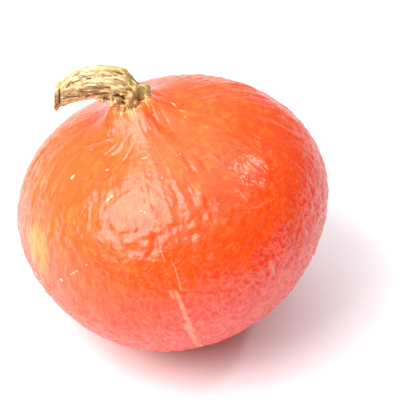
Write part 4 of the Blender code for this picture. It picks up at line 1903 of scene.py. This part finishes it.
@dataclass(frozen=True)
class Studio:
    """The pale floor, the soft lights and the room that the rind mirrors."""

    middle: Point = (0.0, 0.0, 0.075)
    distance: float = 0.9
    floor_side: float = 8.0
    dim: float = 0.06
    tint: Colour = (1.0, 0.98, 1.03)
    backdrop: Colour = (0.93, 0.94, 0.95)
    lights: tuple[SoftLight, ...] = (
        SoftLight("large_softbox", -58.0, 48.0, 0.78, 0.80, 6.3),
        SoftLight("small_softbox", 101.0, 52.0, 0.075, 0.075, 62.0),
    )
    glows: tuple[Glow, ...] = (
        Glow(-30.0, 82.0, 36.0, 1.45),
        Glow(-120.0, 20.0, 55.0, 0.5),
        Glow(175.0, 35.0, 45.0, 0.2),
    )

    def build_floor(self) -> None:
        """Lays the floor at the height that the squash lies on."""
        half = self.floor_side / 2
        corners = [(-half, -half, 0.0), (half, -half, 0.0), (half, half, 0.0), (-half, half, 0.0)]
        mesh = bpy.data.meshes.new("floor")
        mesh.from_pydata(corners, [], [(0, 1, 2, 3)])
        mesh.materials.append(FloorFinish().material())
        floor = bpy.data.objects.new("floor", mesh)
        bpy.context.scene.collection.objects.link(floor)

    def build_room(self) -> None:
        """Makes the room's light, dim towards the camera and brighter overhead and behind on the left."""
        world = bpy.data.worlds.new("studio")
        world.use_nodes = True
        world.node_tree.nodes.clear()
        bench = NodeBench(world.node_tree)
        direction = bench.add("ShaderNodeTexCoord").outputs["Generated"]
        parts = [self.dim]
        for glow in self.glows:
            inputs = {0: direction, 1: glow.towards}
            facing = bench.add("ShaderNodeVectorMath", inputs, operation="DOT_PRODUCT").outputs["Value"]
            edge = math.cos(math.radians(min(1.6 * glow.half_angle, 175.0)))
            core = math.cos(math.radians(0.4 * glow.half_angle))
            parts.append(bench.ramp(facing, edge, core, 0.0, glow.radiance))
        strength = bench.total(parts)
        lit = bench.add("ShaderNodeBackground", {"Color": (*self.tint, 1.0), "Strength": strength})
        seen = bench.add("ShaderNodeBackground", {"Color": (*self.backdrop, 1.0), "Strength": 1.0})
        is_camera = bench.add("ShaderNodeLightPath").outputs["Is Camera Ray"]
        mixed = bench.add("ShaderNodeMixShader", {0: is_camera, 1: lit.outputs[0], 2: seen.outputs[0]})
        bench.feed(bench.add("ShaderNodeOutputWorld").inputs[0], mixed.outputs[0])
        bpy.context.scene.world = world

    def build(self) -> None:
        """Makes the whole studio."""
        self.build_floor()
        self.build_room()
        for light in self.lights:
            light.build(Vector(self.middle), self.distance)
        bpy.context.scene.view_settings.view_transform = "Standard"


@dataclass(frozen=True)
class PhotoCamera:
    """A camera that sees the squash as the photograph does, for an image of 400 by 400."""

    middle: Point = (0.00430, -0.00362, 0.07274)
    elevation: float = 39.0
    distance: float = 0.85
    pixels_to_metre: float = 1740.0
    image_side: float = 400.0
    middle_column: float = 173.1
    middle_row: float = 210.9
    sensor: float = 36.0

    def build(self) -> None:
        """Makes the camera and gives the scene to it."""
        elevation = math.radians(self.elevation)
        camera = bpy.data.cameras.new("photo_camera")
        camera.sensor_width = self.sensor
        camera.lens = self.pixels_to_metre * self.distance / self.image_side * self.sensor
        camera.shift_x = (self.image_side / 2 - self.middle_column) / self.image_side
        camera.shift_y = (self.middle_row - self.image_side / 2) / self.image_side
        holder = bpy.data.objects.new("photo_camera", camera)
        back = Vector((0.0, -math.cos(elevation), math.sin(elevation)))
        holder.location = Vector(self.middle) + self.distance * back
        holder.rotation_euler = Euler((math.pi / 2 - elevation, 0.0, 0.0))
        bpy.context.scene.collection.objects.link(holder)
        bpy.context.scene.camera = holder


def main() -> None:
    """Builds the squash piece by piece, then the studio round it."""
    logging.basicConfig(level=logging.INFO, format="%(name)s: %(message)s")
    PhotoCamera().build()
    fruit_shape = FruitShape()
    Fruit(fruit_shape, RindFinish(fruit_shape)).build()
    Stem(StemShape(fruit_shape)).build()
    FootFibres(fruit_shape, CorkFinish()).build()
    CorkFlakes(fruit_shape).build()
    Studio().build()


if __name__ == "__main__":
    main()
